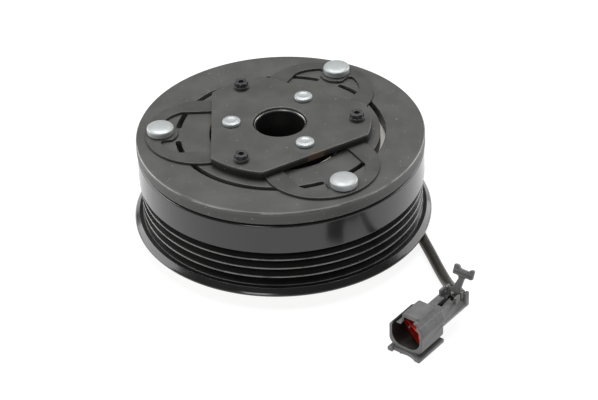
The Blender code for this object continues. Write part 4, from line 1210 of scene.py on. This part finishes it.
    def pin_mesh(self, across: float) -> bpy.types.Mesh:
        """Make a terminal: a flat blade with a chamfered tip.

        Args:
            across: where it stands across the mouth.

        Returns:
            The mesh.
        """
        tip, end = self.hood_front + 4.8, self.hood_back - 1.0
        outline = rounded([(tip, across - 0.15, 0.1), (tip + 1.2, across - 0.5, 0.2),
                           (end, across - 0.5), (end, across + 0.5),
                           (tip + 1.2, across + 0.5, 0.2), (tip, across + 0.15, 0.1)])
        return plate_mesh("pin", [outline], 7.05, 7.85, [0.08])

    def flap_mesh(self) -> bpy.types.Mesh:
        """Make the flap: a foot on the hinge, a tapered arm, and a saddle with two claws.

        Returns:
            The mesh.
        """
        shift = -1.5
        arm = rounded([(-2.2, -0.5, 0.4), (2.2, -0.5, 0.4), (2.2, 0.5, 0.4), (0.9, 1.2, 0.5),
                       (shift + 1.1, 4.8, 0.6), (shift + 2.2, 6.2, 0.2), (shift - 2.2, 6.2, 0.2),
                       (shift - 0.85, 4.8, 0.6), (-1.9, 1.0, 0.5), (-2.2, 0.5, 0.4)], steps=3)
        base = lengthwise_mesh("flap", [arm], -0.55, 0.55, [0.15])
        saddle = rounded([(3.9, 5.5, 0.5), (3.9, 9.0, 0.5), (2.2, 9.0, 0.6), (1.5, 8.0, 0.7),
                          (-1.9, 8.0, 0.7), (-2.8, 9.0, 0.5), (-3.9, 9.0, 0.5),
                          (-3.9, 5.5, 0.5)])
        saddle = [(across + shift, up) for across, up in saddle]
        joined = [("UNION", lengthwise_mesh("saddle", [saddle], -0.6, 0.8, [0.3]))]
        for height in (5.7, 6.9):
            joined.append(("UNION", block_mesh("rib", (-0.9, shift - 3.6, height),
                                               (0.2, shift + 3.6, height + 0.7), 0.2)))
        mesh = combine("strain_flap", base, joined)
        swing = Matrix.Rotation(math.radians(self.lean), 4, "Y")
        mesh.transform(Matrix.Translation(self.hinge) @ swing)
        return mesh


# ------------------------------------------------------------------ armature and hub
@dataclass
class Armature:
    """The disc that the coil pulls down, and the large rivets through it.

    Attributes:
        bore: the radius of its bore.
        slot_inner: the inner radius of its three slots.
        slot_outer: their outer radius.
        bridge: half the angle of the bridge beside each rivet, in degrees.
        head: the radius of the rivets' heads.
        shank: the radius of their shanks.
    """

    bore: float = 24.8
    slot_inner: float = 35.1
    slot_outer: float = 37.0
    bridge: float = 6.4
    head: float = 4.75
    shank: float = 2.4

    def build(self) -> None:
        """Build the disc and its rivets."""
        outer = reach_of("armature_plate")
        outlines = [circle(outer, Round.LARGE), circle(self.bore, Round.MEDIUM)]
        rounds = [0.75, 0.3]
        for lobe in LOBES:
            outlines.append(self.slot_outline(lobe + self.bridge, lobe + 120.0 - self.bridge))
            hole = polar(LARGE_RIVET_REACH, lobe)
            outlines.append(circle(self.shank + 0.2, Round.TINY, hole))
            rounds += [0.25, 0.1]
        mesh = plate_mesh("armature_disc", outlines, *heights("armature_plate"), rounds, 4)
        fit_piece("armature_disc", mesh, Body.ARMATURE, Look.SHEET, "armature_plate")
        for number, lobe in enumerate(LOBES, 1):
            self.build_rivet(number, polar(LARGE_RIVET_REACH, lobe))

    def slot_outline(self, start: float, end: float) -> Outline:
        """Draw a curved slot with round ends, anticlockwise.

        Args:
            start: the direction of its first end, in degrees.
            end: the direction of its second end.

        Returns:
            The outline.
        """
        middle = (self.slot_inner + self.slot_outer) / 2
        half = (self.slot_outer - self.slot_inner) / 2
        inset = math.degrees(half / middle)
        points = arc(self.slot_outer, start + inset, end - inset, 56)
        points += arc(half, end, end + 180.0, 8, polar(middle, end - inset))[1:-1]
        points += arc(self.slot_inner, end - inset, start + inset, 56)
        points += arc(half, start + 180.0, start + 360.0, 8, polar(middle, start + inset))[1:-1]
        return points

    def build_rivet(self, number: int, spot: Point) -> None:
        """Build one large rivet: a low dome with a soft shoulder, and its shank.

        Args:
            number: its number.
            spot: where it stands.
        """
        tail, top = heights(f"armature_rivet_{number}")
        seat, head = heights("leaf_spring_1")[1] + 0.15, self.head
        profile = [(0.0, top), (0.25 * head, top - 0.01), (0.5 * head, top - 0.06),
                   (0.7 * head, top - 0.17)]
        profile += rounded([(0.8 * head, top - 0.26), (head, top - 0.75, 0.6), (head, seat, 0.3),
                            (self.shank, seat, 0.15), (self.shank, tail, 0.3), (0.0, tail)],
                           closed=False, steps=5)
        mesh = turn_mesh(f"large_rivet_{number}", profile, Round.DOME, spot)
        fit_piece(f"large_rivet_{number}", mesh, Body.ARMATURE, Look.ZINC,
                  f"armature_rivet_{number}")


@dataclass
class LeafSprings:
    """The three D-shaped loops of spring steel between the hub and the armature.

    Attributes:
        centre: how far from the axis each loop's outer circle is centred.
        radius: that circle's radius.
        bore: the radius that the inner ends are cut back to.
        window_inner: where the window starts.
        window_half: half the window's width.
        window_round: the round of its inner corners.
        arch_centre: the centre of the window's arch.
        arch_radius: the arch's radius.
        land: the radius of the land round the large rivet.
    """

    centre: float = 27.3
    radius: float = 20.2
    bore: float = 11.2
    window_inner: float = 21.5
    window_half: float = 13.0
    window_round: float = 3.0
    arch_centre: float = 29.0
    arch_radius: float = 14.3
    land: float = 6.2

    def build(self) -> None:
        """Build the three springs, which lie between the hub and the armature, on no body."""
        bottom, top = heights("leaf_spring_1")
        holes = [circle(2.6, Round.TINY, (LARGE_RIVET_REACH, 0.0)),
                 circle(2.0, Round.TINY, (SMALL_RIVET_REACH, 0.0))]
        for number, lobe in enumerate(LOBES, 1):
            outlines = [turned(line, lobe) for line in (self.outline(), self.window(), *holes)]
            mesh = plate_mesh(f"leaf_{number}", outlines, bottom, top,
                              [0.12, 0.12, 0.05, 0.05], 2)
            leaf = fit_piece(f"leaf_{number}", mesh, None, Look.SPRING, f"leaf_spring_{number}")
            start, end = (Vector((*polar(reach, lobe), top)) * MM for reach in (24.0, 37.0))
            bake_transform(leaf)

    def outline(self) -> Outline:
        """Draw the loop's outside along +X: a circle, cut back by the hub's bore.

        Returns:
            The outline.
        """
        reach = self.centre
        meet = (reach ** 2 - self.radius ** 2 + self.bore ** 2) / (2 * reach)
        bore_angle = math.degrees(math.acos(meet / self.bore))
        side = self.bore * math.sin(math.radians(bore_angle))
        outer_angle = math.degrees(math.atan2(side, meet - reach))
        points = arc(self.radius, -outer_angle, outer_angle, 110, (reach, 0.0))
        return points + arc(self.bore, bore_angle, -bore_angle, 24)[1:-1]

    def window(self) -> Outline:
        """Draw the window along +X: straight sides, an arch, and the rivet's land.

        Returns:
            The outline.
        """
        half, corner = self.window_half, self.window_round
        low, high, steps = self.window_inner + corner, self.arch_centre + 5.0, 5
        right = arc(corner, 180.0, 270.0, 6, (low, -half + corner))
        right += [(low + (high - low) * i / steps, -half) for i in range(1, steps)]
        arch_start = math.degrees(math.asin(half / self.arch_radius))
        right += arc(self.arch_radius, -arch_start, -25.5, 16, (self.arch_centre, 0.0))
        right += arc(1.0, -30.0, 45.0, 4, (40.45, -5.7))
        land = arc(self.land, -132.0, -228.0, 14, (LARGE_RIVET_REACH, 0.0))
        return right + land + [(x, -y) for x, y in reversed(right)]


@dataclass
class Hub:
    """The hub plate, its small rivets and bumpers, the splined hub and its shim.

    Attributes:
        reach: the radius of the plate's corners.
        flat: how far its flats are from the axis.
        bore: the radius of its centre hole.
        head: the radius of the small rivets' heads.
        shank: the radius of their shanks.
        bumper_reach: how far from the axis the bumpers are.
        flange: the thickness of the splined hub's flange.
        teeth: how many splines its bore has.
    """

    reach: float = 32.0
    flat: float = 24.0
    bore: float = 9.4
    head: float = 3.2
    shank: float = 1.8
    bumper_reach: float = 27.0
    flange: float = 3.0
    teeth: int = 18

    def build(self) -> None:
        """Build the plate, the rivets, the bumpers, the splined hub and the shim."""
        flange_top = heights("leaf_spring_1")[0] - 0.2
        self.build_plate()
        for number, lobe in enumerate(LOBES, 1):
            self.build_rivet(number, polar(SMALL_RIVET_REACH, lobe), flange_top - self.flange)
        for number, corner in enumerate(CORNERS, 1):
            self.build_bumper(number, polar(self.bumper_reach, corner))
        self.build_boss(flange_top)
        low, high = heights("gap_shim")
        corners = ring_corners(3.3, reach_of("gap_shim"), low, high, 0.1, 0.1)
        mesh = lathe("air_gap_shim", corners, Round.SMALL, hold=0.1)
        fit_piece("air_gap_shim", mesh, Body.HUB, Look.BARE, "gap_shim")

    def build_plate(self) -> None:
        """Build the three-sided plate, with its holes."""
        half = 60.0 - math.degrees(math.acos(self.flat / self.reach))
        flat_half = math.sqrt(self.reach ** 2 - self.flat ** 2) - 0.7
        flat = [(self.flat, flat_half * (i / 4 - 1)) for i in range(9)]
        soft = self.reach - 0.12
        outline: Outline = []
        for corner in CORNERS:
            outline += arc(self.reach, corner - half + 1.3, corner + half - 1.3, 20)
            outline.append(polar(soft, corner + half))
            outline += turned(flat, corner + 60.0)
            outline.append(polar(soft, corner + 120.0 - half))
        outlines, rounds = [outline, circle(self.bore, Round.MEDIUM)], [0.35, 0.45]
        for reach, turns, radius, edge in ((SMALL_RIVET_REACH, LOBES, self.shank + 0.2, 0.1),
                                           (self.bumper_reach, CORNERS, 2.2, 0.15)):
            outlines += [circle(radius, Round.TINY, polar(reach, turn)) for turn in turns]
            rounds += [edge] * len(turns)
        mesh = plate_mesh("stopper_plate", outlines, *heights("hub_plate"), rounds, 4)
        fit_piece("stopper_plate", mesh, Body.HUB, Look.HUB_SHEET, "hub_plate")

    def build_rivet(self, number: int, spot: Point, under: float) -> None:
        """Build one small rivet: a flat head with a peened ring, a shank and a tail.

        Args:
            number: its number.
            spot: where it stands.
            under: the height of the underside that its tail is closed on.
        """
        tail, top = heights(f"hub_rivet_{number}")
        seat, head = heights("hub_plate")[1] + 0.15, self.head
        corners = [(0.0, top - 0.25), (0.35 * head, top - 0.2, 0.3), (0.6 * head, top, 0.4),
                   (head, top - 0.3, 0.4), (head, seat, 0.15), (self.shank, seat, 0.1),
                   (self.shank, under - 0.2), (0.85 * head, under - 0.2, 0.2),
                   (0.7 * head, tail, 0.3), (0.0, tail)]
        mesh = lathe(f"small_rivet_{number}", corners, Round.SMALL, spot)
        fit_piece(f"small_rivet_{number}", mesh, Body.HUB, Look.ZINC, f"hub_rivet_{number}")

    def build_bumper(self, number: int, spot: Point) -> None:
        """Build one rubber bumper: a foot under the plate, a neck, and a ribbed cap.

        Args:
            number: its number.
            spot: where it stands.
        """
        bottom, top = heights(f"bumper_{number}")
        low, high = heights("hub_plate")[0] - 0.15, heights("hub_plate")[1] + 0.15
        foot, neck, cap, tip = 3.6, 2.0, 2.75, 2.3
        corners = [(0.0, top - 1.6), (tip - 0.4, top - 1.6), (cap - 0.1, top - 1.5, 0.2),
                   (cap, high, 0.2), (neck, high), (neck, low), (foot, low, 0.15),
                   (foot, bottom, 0.2), (0.0, bottom)]
        base = lathe(f"rubber_bumper_{number}", corners, Round.SMALL, spot)
        crown = []
        for turn in (4.5 * step for step in range(80)):
            x, y = polar(tip + 0.16 * math.cos(math.radians(8 * turn)), turn)
            crown.append((spot[0] + x, spot[1] + y))
        ring = plate_mesh("crown", [crown, circle(1.0, Round.TINY, spot)], top - 1.75, top,
                          [0.3, 0.2])
        mesh = combine(f"rubber_bumper_{number}", base, [("UNION", ring)])
        fit_piece(f"rubber_bumper_{number}", mesh, Body.HUB, Look.RUBBER, f"bumper_{number}")

    def build_boss(self, flange_top: float) -> None:
        """Build the splined hub, with its flange, counterbore and splines.

        Args:
            flange_top: the height of its flange's top.
        """
        bottom, top = heights("hub_boss")
        flange, under = reach_of("hub_boss"), flange_top - self.flange
        boss, bolt, seat, counterbore, lip = 11.2, 3.3, 29.2, 8.6, self.bore - 0.3
        base = lathe("boss", [
            (flange, flange_top, 0.3), (flange, under, 0.4), (boss, under, 0.8),
            (boss, bottom, 0.6), (bolt, bottom), (bolt, seat, 0.3), (counterbore, seat, 0.4),
            (counterbore, top - 0.7, 0.1), (lip - 0.05, top, 0.05), (lip, flange_top)],
            Round.MEDIUM)
        points = [polar(radius, (tooth + offset) * 360.0 / self.teeth)
                  for tooth in range(self.teeth)
                  for radius, offset in ((5.8, -0.32), (6.7, -0.20), (6.7, 0.20), (5.8, 0.32))]
        tools = [("DIFFERENCE", plate_mesh("spline", [points], bottom - 1.0, 27.4, [0.0]))]
        tools += [drill(polar(SMALL_RIVET_REACH, lobe), self.shank + 0.2, under - 1.0, top,
                        Round.TINY) for lobe in LOBES]
        fit_piece("splined_hub", combine("splined_hub", base, tools), Body.HUB, Look.HUB_BLACK,
                  "hub_boss")


# ------------------------------------------------------------------ pulley and bearing
@dataclass
class Pulley:
    """The rotor with its smooth band, the grooved rim, and the friction ring.

    Attributes:
        pitch: the distance between the belt grooves.
        grooves: how many grooves there are.
        tip: the radius of the ribs' tips.
        root: the radius of the grooves' roots.
        tip_flat: the width of each tip.
        root_flat: the width of each root.
        band_foot: the height of the smooth band's lower edge.
    """

    pitch: float = 3.56
    grooves: int = 4
    tip: float = 50.0
    root: float = 47.2
    tip_flat: float = 0.45
    root_flat: float = 0.7
    band_foot: float = 21.5

    @property
    def flank(self) -> float:
        """How high each groove's flank is."""
        return (self.pitch - self.tip_flat - self.root_flat) / 2

    def build(self) -> None:
        """Build the rotor, the rim and the friction ring."""
        self.build_rotor()
        self.build_rim()
        low, high = heights("friction_ring")
        corners = ring_corners(44.6, reach_of("friction_ring"), low, high, 0.15, 0.15)
        mesh = lathe("lining_ring", corners, Round.LARGE)
        fit_piece("lining_ring", mesh, Body.PULLEY, Look.LINING, "friction_ring")

    def build_rotor(self) -> None:
        """Build the rotor: disc, band, two walls, and two rows of curved flux slots."""
        top, outer = heights("rotor")[1], reach_of("rotor")
        under, shoulder = top - 4.2, self.band_foot - self.flank
        low, high = heights("bearing_outer_ring")
        groove, foot, ceiling, lining = low - 1.8, low - 0.2, high + 0.2, top - 1.4
        bore, lip, wall_in, wall_out, band_in = 26.2, 24.2, 29.4, 42.3, 45.2
        base = lathe("rotor_body", [
            (outer, top, 0.8), (outer, self.band_foot, 0.35), (self.root, shoulder, 0.2),
            (band_in, shoulder), (band_in, 5.2, 0.5), (wall_out, 5.2, 0.5),
            (wall_out, under, 1.0), (wall_in, under, 1.0), (wall_in, 12.5, 0.4),
            (bore, 12.5, 0.4), (bore, groove), (bore + 1.2, groove), (bore + 1.2, foot),
            (bore, foot), (bore, ceiling), (lip, ceiling, 0.3), (lip, top, 0.5),
            (44.4, top, 0.15), (44.4, lining), (47.8, lining), (47.8, top, 0.15)], Round.LARGE)
        slots = []
        for inner, width, lead, span in ((31.2, 2.0, 0.0, 50.0), (39.4, 1.9, 60.0, 52.0)):
            shape = Armature(slot_inner=inner, slot_outer=inner + width)
            for turn in (corner + lead for corner in CORNERS):
                outline = shape.slot_outline(turn - span, turn + span)
                slots.append(("DIFFERENCE", plate_mesh("slot", [outline], under - 1.0, top + 1.0,
                                                       [0.0])))
        mesh = combine("rotor_body", base, slots)
        fit_piece("rotor_body", mesh, Body.PULLEY, Look.COAT, "rotor")
        # The friction face gets the pale bare finish, partly painted light.
        mesh.materials.append(finish_of(Look.FACE))
        for face in mesh.polygons:
            spot = face.center / MM
            if face.normal.z > 0.99 and spot.z > top - 0.1 and spot.xy.length < outer - 1.0:
                face.material_index = 1

    def build_rim(self) -> None:
        """Build the grooved rim with its one flange."""
        low, seam = heights("pulley_rim")
        flange, inner, flank = reach_of("pulley_rim"), 45.5, self.flank
        corners = [(self.root, seam)]
        height = self.band_foot - flank - self.root_flat
        for index in range(self.grooves):
            corners += [(self.root, height, 0.25), (self.tip, height - flank, 0.16)]
            if index < self.grooves - 1:
                below = height - flank - self.tip_flat
                corners += [(self.tip, below, 0.16), (self.root, below - flank, 0.25)]
                height -= self.pitch
        corners += [(self.tip + 1.4, height - flank - 0.25, 0.3), (flange - 0.35, low + 1.5, 0.3),
                    (flange, low + 1.0, 0.2), (flange, low + 0.5, 0.2), (flange - 0.5, low, 0.25),
                    (inner, low, 0.4), (inner, seam)]
        mesh = lathe("grooved_rim", corners, Round.LARGE, steps=3, hold=0.08)
        fit_piece("grooved_rim", mesh, Body.PULLEY, Look.COAT, "pulley_rim")


@dataclass
class Bearing:
    """The ball bearing between the compressor's nose and the pulley, and its snap ring.

    Attributes:
        outer: the outer ring's radius.
        bore: the inner ring's bore.
        outer_shoulder: the outer ring's shoulder.
        inner_shoulder: the inner ring's shoulder.
        pitch: the radius of the balls' circle.
        groove: the radius of the balls' grooves.
        ball: the balls' radius.
        balls: how many balls there are.
    """

    outer: float = 26.0
    bore: float = 17.5
    outer_shoulder: float = 23.3
    inner_shoulder: float = 20.2
    pitch: float = 21.75
    groove: float = 2.95
    ball: float = 2.7
    balls: int = 14

    def build(self) -> None:
        """Build the rings, the seals, the cage with its balls, and the snap ring."""
        low, high = heights("bearing_outer_ring")
        outer, inner, ease, lip = self.outer_shoulder, self.inner_shoulder, 0.5, 0.12
        outside = [(outer, high, lip), (self.outer, high, ease), (self.outer, low, ease),
                   (outer, low, lip)]
        inside = [(inner, low, lip), (self.bore, low, ease), (self.bore, high, ease),
                  (inner, high, lip)]
        for name, corners, side, body in (("outer", outside, 1, Body.PULLEY),
                                          ("inner", inside, -1, Body.FIXED)):
            race = self.race(corners[0][0], side, (low + high) / 2)
            profile = rounded(corners, hold=lip) + race[::-side]
            mesh = turn_mesh(f"{name}_race", profile, Round.MEDIUM)
            fit_piece(f"{name}_race", mesh, body, Look.BARE, f"bearing_{name}_ring")
        self.build_seals()
        self.build_cage()
        self.build_snap_ring()

    def race(self, shoulder: float, side: int, middle: float) -> Outline:
        """Draw a ball groove's arc, from its upper end to its lower end.

        Args:
            shoulder: the radius that it is cut into.
            side: 1 for the outer ring and -1 for the inner ring.
            middle: its height.

        Returns:
            The arc as (radius, height).
        """
        half = math.degrees(math.acos(side * (shoulder - self.pitch) / self.groove))
        points = arc(self.groove, half, -half, 12, (0.0, middle))
        return [(self.pitch + side * across, height) for across, height in points]

    def build_seals(self) -> None:
        """Build the two rubber seals, with a stepped face and a thin lip."""
        outer, inner = self.outer_shoulder - 0.12, self.inner_shoulder + 0.3
        for number, place in enumerate(("top", "bottom"), 1):
            low, high = heights(f"bearing_seal_{place}")
            face, back, step = (high, low, -0.25) if place == "top" else (low, high, 0.25)
            corners = [(reach, height, 0.1) for reach, height in (
                (outer, face), (outer, back), (inner, back), (inner, face), (inner + 0.7, face),
                (inner + 0.9, face + step), (outer - 0.8, face + step), (outer - 0.6, face))]
            mesh = lathe(f"seal_{number}", corners, Round.MEDIUM, hold=0.1)
            fit_piece(f"seal_{number}", mesh, Body.PULLEY, Look.SEAL, f"bearing_seal_{place}")

    def build_cage(self) -> None:
        """Build the cage with its pockets, and the balls in them."""
        low, high = heights("bearing_cage")
        middle = sum(heights("ball_01")) / 2
        inner, outer = self.inner_shoulder + 0.35, self.outer_shoulder - 0.35
        base = lathe("crown_cage", ring_corners(inner, outer, low, high, 0.2, 0.3), Round.MEDIUM)
        pockets = []
        for index in range(self.balls):
            spot = (*polar(self.pitch, 360.0 * index / self.balls), middle)
            pockets.append(("DIFFERENCE", self.ball_mesh("pocket", spot, self.ball + 0.2)))
            mesh = self.ball_mesh(f"race_ball_{index + 1:02d}", spot, self.ball)
            fit_piece(f"race_ball_{index + 1:02d}", mesh, Body.CAGE, Look.BALL,
                      f"ball_{index + 1:02d}")
        mesh = combine("crown_cage", base, pockets)
        fit_piece("crown_cage", mesh, Body.CAGE, Look.BRASS, "bearing_cage")

    @staticmethod
    def ball_mesh(name: str, spot: Sequence[float], radius: float) -> bpy.types.Mesh:
        """Make a ball, or the pocket round one.

        Args:
            name: the mesh's name.
            spot: its middle.
            radius: its radius.

        Returns:
            The mesh.
        """
        bm = bmesh.new()
        bmesh.ops.create_uvsphere(bm, u_segments=24, v_segments=14, radius=radius)
        bmesh.ops.translate(bm, verts=bm.verts, vec=spot)
        return close_mesh(name, bm)

    def build_snap_ring(self) -> None:
        """Build the open snap ring, with an eyelet at each end."""
        outer, inner, lug = 26.9, 24.85, 2.1
        first, last = 279.0, 621.0
        eyes = [polar(inner + 0.1, end) for end in (first, last)]
        outline = arc(outer, first - 3.0, last + 3.0, 150)
        outline += arc(lug, last + 90.0, last + 250.0, 10, eyes[1])
        outline += arc(inner, last - 5.5, first + 5.5, 150)
        outline += arc(lug, first + 110.0, first + 270.0, 10, eyes[0])
        holes = [circle(0.9, Round.TINY, eye) for eye in eyes]
        mesh = plate_mesh("snap_ring", [outline, *holes], *heights("bearing_snap_ring"),
                          [0.12, 0.08, 0.08], 2)
        fit_piece("snap_ring", mesh, Body.PULLEY, Look.BARE, "bearing_snap_ring")


# ------------------------------------------------------------------ field coil
@dataclass
class FieldCoil:
    """The coil under the pulley: housing, bobbin, winding, potting, plate and pin.

    Attributes:
        outer_wall: the thickness of the housing's outer wall.
        inner_wall: the thickness of its inner wall.
        inner: its inner radius.
        floor: the thickness of its floor.
        bobbin: the bobbin's inner radius.
        wire: the diameter of the winding's wire.
        plate: the radius of the mounting plate.
        plate_under: the height of its underside.
        pilot_outer: the outer radius of the pilot ring.
        pilot_inner: its inner radius.
    """

    outer_wall: float = 2.2
    inner_wall: float = 2.1
    inner: float = 29.9
    floor: float = 3.0
    bobbin: float = 32.2
    wire: float = 0.62
    plate: float = 46.5
    plate_under: float = 1.8
    pilot_outer: float = 31.5
    pilot_inner: float = 27.2

    def build(self, lead: Lead) -> None:
        """Build the coil and the plate that carries it.

        Args:
            lead: the lead, whose gland lies in the plate and passes through the housing.
        """
        self.build_housing(lead)
        self.build_inside()
        self.build_plate(lead)

    def build_housing(self, lead: Lead) -> None:
        """Build the steel housing, with the hole for the gland's stub.

        Args:
            lead: the lead that comes out of it.
        """
        low, high = heights("coil_housing")
        outer, floor = reach_of("coil_housing"), low + self.floor
        wall_out, wall_in = outer - self.outer_wall, self.inner + self.inner_wall
        base = lathe("coil_shell", [
            (outer, high, 0.4), (outer, low, 1.2), (self.inner, low, 1.2), (self.inner, high, 0.4),
            (wall_in, high, 0.3), (wall_in, floor), (wall_out, floor), (wall_out, high, 0.3)],
            Round.LARGE)
        hole = drill(lead.beside(-4.9, -6.2), 1.8, 2.0, 9.0, Round.TINY)
        fit_piece("coil_shell", combine("coil_shell", base, [hole]), Body.FIXED, Look.COIL_PAINT,
                  "coil_housing")

    def build_inside(self) -> None:
        """Build the bobbin, the winding with its turns of wire, and the resin over them."""
        low, high = heights("coil_bobbin")
        outer, inner, wall = reach_of("coil_bobbin"), self.bobbin, 0.7
        corners = [(reach, height, 0.2) for reach, height in (
            (outer, high), (outer, high - wall), (inner + wall, high - wall),
            (inner + wall, low + wall), (outer, low + wall), (outer, low), (inner, low),
            (inner, high))]
        mesh = lathe("bobbin", corners, Round.MEDIUM)
        fit_piece("bobbin", mesh, Body.FIXED, Look.NYLON, "coil_bobbin")
        low, high = heights("coil_winding")
        outer, turns = reach_of("coil_winding"), round((high - low) / self.wire)
        radius = (high - low) / turns / 2
        profile: Outline = [(33.1, low), (33.1, high)]
        for turn in range(turns):
            spot = (outer - radius, high - radius * (2 * turn + 1))
            profile += arc(radius, 80.0, -80.0, 4, spot)
        mesh = turn_mesh("copper_winding", profile, 96)
        fit_piece("copper_winding", mesh, Body.FIXED, Look.COPPER, "coil_winding")
        low, high = heights("coil_potting")
        outer = reach_of("coil_potting")
        profile = [(outer, low), (inner, low)]
        profile += [(inner + (outer - inner) * share, high - 0.3 * math.sin(math.pi * share))
                    for share in (step / 8 for step in range(9))]
        mesh = turn_mesh("coil_resin", profile, Round.MEDIUM)
        fit_piece("coil_resin", mesh, Body.FIXED, Look.RESIN, "coil_potting")

    def build_plate(self, lead: Lead) -> None:
        """Build the mounting plate with its pilot ring, notch, weld dimples and pin.

        Args:
            lead: the lead, whose gland lies in the notch.
        """
        low, high = heights("coil_mounting_plate")
        under, pin_spot = self.plate_under, polar(37.0, 150.0)
        base = lathe("coil_plate", [
            (self.plate, high, 0.4), (self.plate, under, 0.4), (self.pilot_outer, under, 0.5),
            (self.pilot_outer, low, 0.4), (self.pilot_inner, low, 0.3),
            (self.pilot_inner, high, 0.3)], Round.LARGE)
        notch = rounded([(*lead.beside(along, across), 1.2) for along, across in
                         ((10.0, -8.8), (10.0, 3.3), (-10.1, 3.3), (-10.1, -8.8))])
        tools = [("DIFFERENCE", plate_mesh("notch", [notch], 0.5, high + 1.0, [0.0])),
                 drill(pin_spot, 1.8, 1.0, 6.0)]
        tools += [drill(polar(36.0, direction), 1.9, under - 1.0, under + 0.5)
                  for direction in (30.0, 90.0, 210.0, 270.0)]
        fit_piece("coil_plate", combine("coil_plate", base, tools), Body.FIXED, Look.YELLOW_ZINC,
                  "coil_mounting_plate")
        tail, top = heights("locating_pin")
        pin = lathe("dowel", [(0.0, top), (1.6, top, 0.1), (1.6, tail + 0.5, 0.2),
                              (1.1, tail, 0.1), (0.0, tail)], Round.SMALL, pin_spot)
        fit_piece("dowel", pin, Body.FIXED, Look.BARE, "locating_pin")


# ------------------------------------------------------------------ the studio
@dataclass
class Studio:
    """The camera, the lamps, the pale floor and the white room, all in metres.

    Attributes:
        lens: the camera's focal length in millimetres.
        elevation: how far the camera looks down, in degrees.
        roll: how far it is rolled, in degrees.
        stand: where it stands.
        target: what the lamps face.
        lamps: each soft box's name, place, width, height and power in watts.
    """

    lens: float = 139.05
    elevation: float = 34.647
    roll: float = -2.062
    stand: tuple[float, float, float] = (0.00568, -0.68088, 0.47872)
    target: tuple[float, float, float] = (0.0, 0.0, 0.02)
    lamps: tuple = (("overhead", (0.0, 0.25, 1.1), 1.0, 0.8, 14.0),
                    ("left_box", (-0.85, 0.3, 0.3), 0.8, 0.6, 5.0),
                    ("right_box", (0.85, 0.45, 0.3), 0.9, 0.6, 4.5),
                    ("front_fill", (-0.35, -0.9, 0.7), 0.35, 0.35, 2.0))

    def add_camera(self) -> None:
        """Make the scene's camera."""
        data = bpy.data.cameras.new("camera")
        data.lens, data.sensor_width, data.clip_start = self.lens, 36.0, 0.01
        camera = bpy.data.objects.new("camera", data)
        bpy.context.scene.collection.objects.link(camera)
        tilt, roll = math.radians(self.elevation), math.radians(self.roll)
        back = Vector((0.0, -math.cos(tilt), math.sin(tilt)))
        level = Vector((1.0, 0.0, 0.0))
        above = back.cross(level)
        right = level * math.cos(roll) + above * math.sin(roll)
        up = above * math.cos(roll) - level * math.sin(roll)
        turn = Matrix((right, up, back)).transposed().to_4x4()
        camera.matrix_world = Matrix.Translation(self.stand) @ turn
        bpy.context.scene.camera = camera

    def add_room(self) -> None:
        """Add the lamps, the white room and the floor."""
        for name, spot, width, height, power in self.lamps:
            data = bpy.data.lights.new(name, "AREA")
            data.shape, data.size, data.size_y, data.energy = "RECTANGLE", width, height, power
            lamp = bpy.data.objects.new(name, data)
            bpy.context.scene.collection.objects.link(lamp)
            turn = (Vector(self.target) - Vector(spot)).to_track_quat("-Z", "Y")
            lamp.matrix_world = Matrix.Translation(spot) @ turn.to_matrix().to_4x4()
        world = bpy.data.worlds.new("room")
        world.use_nodes = True
        background = world.node_tree.nodes["Background"]
        background.inputs["Color"].default_value = (1.0, 1.0, 1.0, 1.0)
        background.inputs["Strength"].default_value = 0.15
        bpy.context.scene.world = world
        bpy.context.scene.view_settings.view_transform = "Standard"
        self.add_floor()

    @staticmethod
    def add_floor() -> None:
        """Add the pale floor that the clutch stands on."""
        bm = bmesh.new()
        bmesh.ops.create_grid(bm, x_segments=1, y_segments=1, size=4.0)
        mesh = bpy.data.meshes.new("floor")
        bm.to_mesh(mesh)
        bm.free()
        floor = bpy.data.objects.new("floor", mesh)
        floor.location.z = -0.05 * MM
        bpy.context.scene.collection.objects.link(floor)
        recipe = Recipe("pale_floor")
        vector, *_ = recipe.place()
        cloud = recipe.noise(vector, 0.2, 2.0)
        recipe.drive("Base Color", recipe.blend(cloud * 0.2, (0.2, 0.2, 0.2), (0.19, 0.19, 0.19)))
        recipe.set("Roughness", 0.9)
        recipe.set("Emission Color", (1.0, 1.0, 1.0, 1.0))
        recipe.set("Emission Strength", 0.88)
        mesh.materials.append(recipe.material)


def main() -> None:
    """Build the studio, and then the clutch from its lead to its hub."""
    logging.basicConfig(level=logging.INFO, format="%(message)s")
    studio, connector, lead = Studio(), Connector(), Lead()
    studio.add_camera()
    connector.build()
    lead.build(connector)
    for assembly in (Armature(), LeafSprings(), Hub(), Pulley(), Bearing()):
        assembly.build()
    FieldCoil().build(lead)
    studio.add_room()


if __name__ == "__main__":
    main()
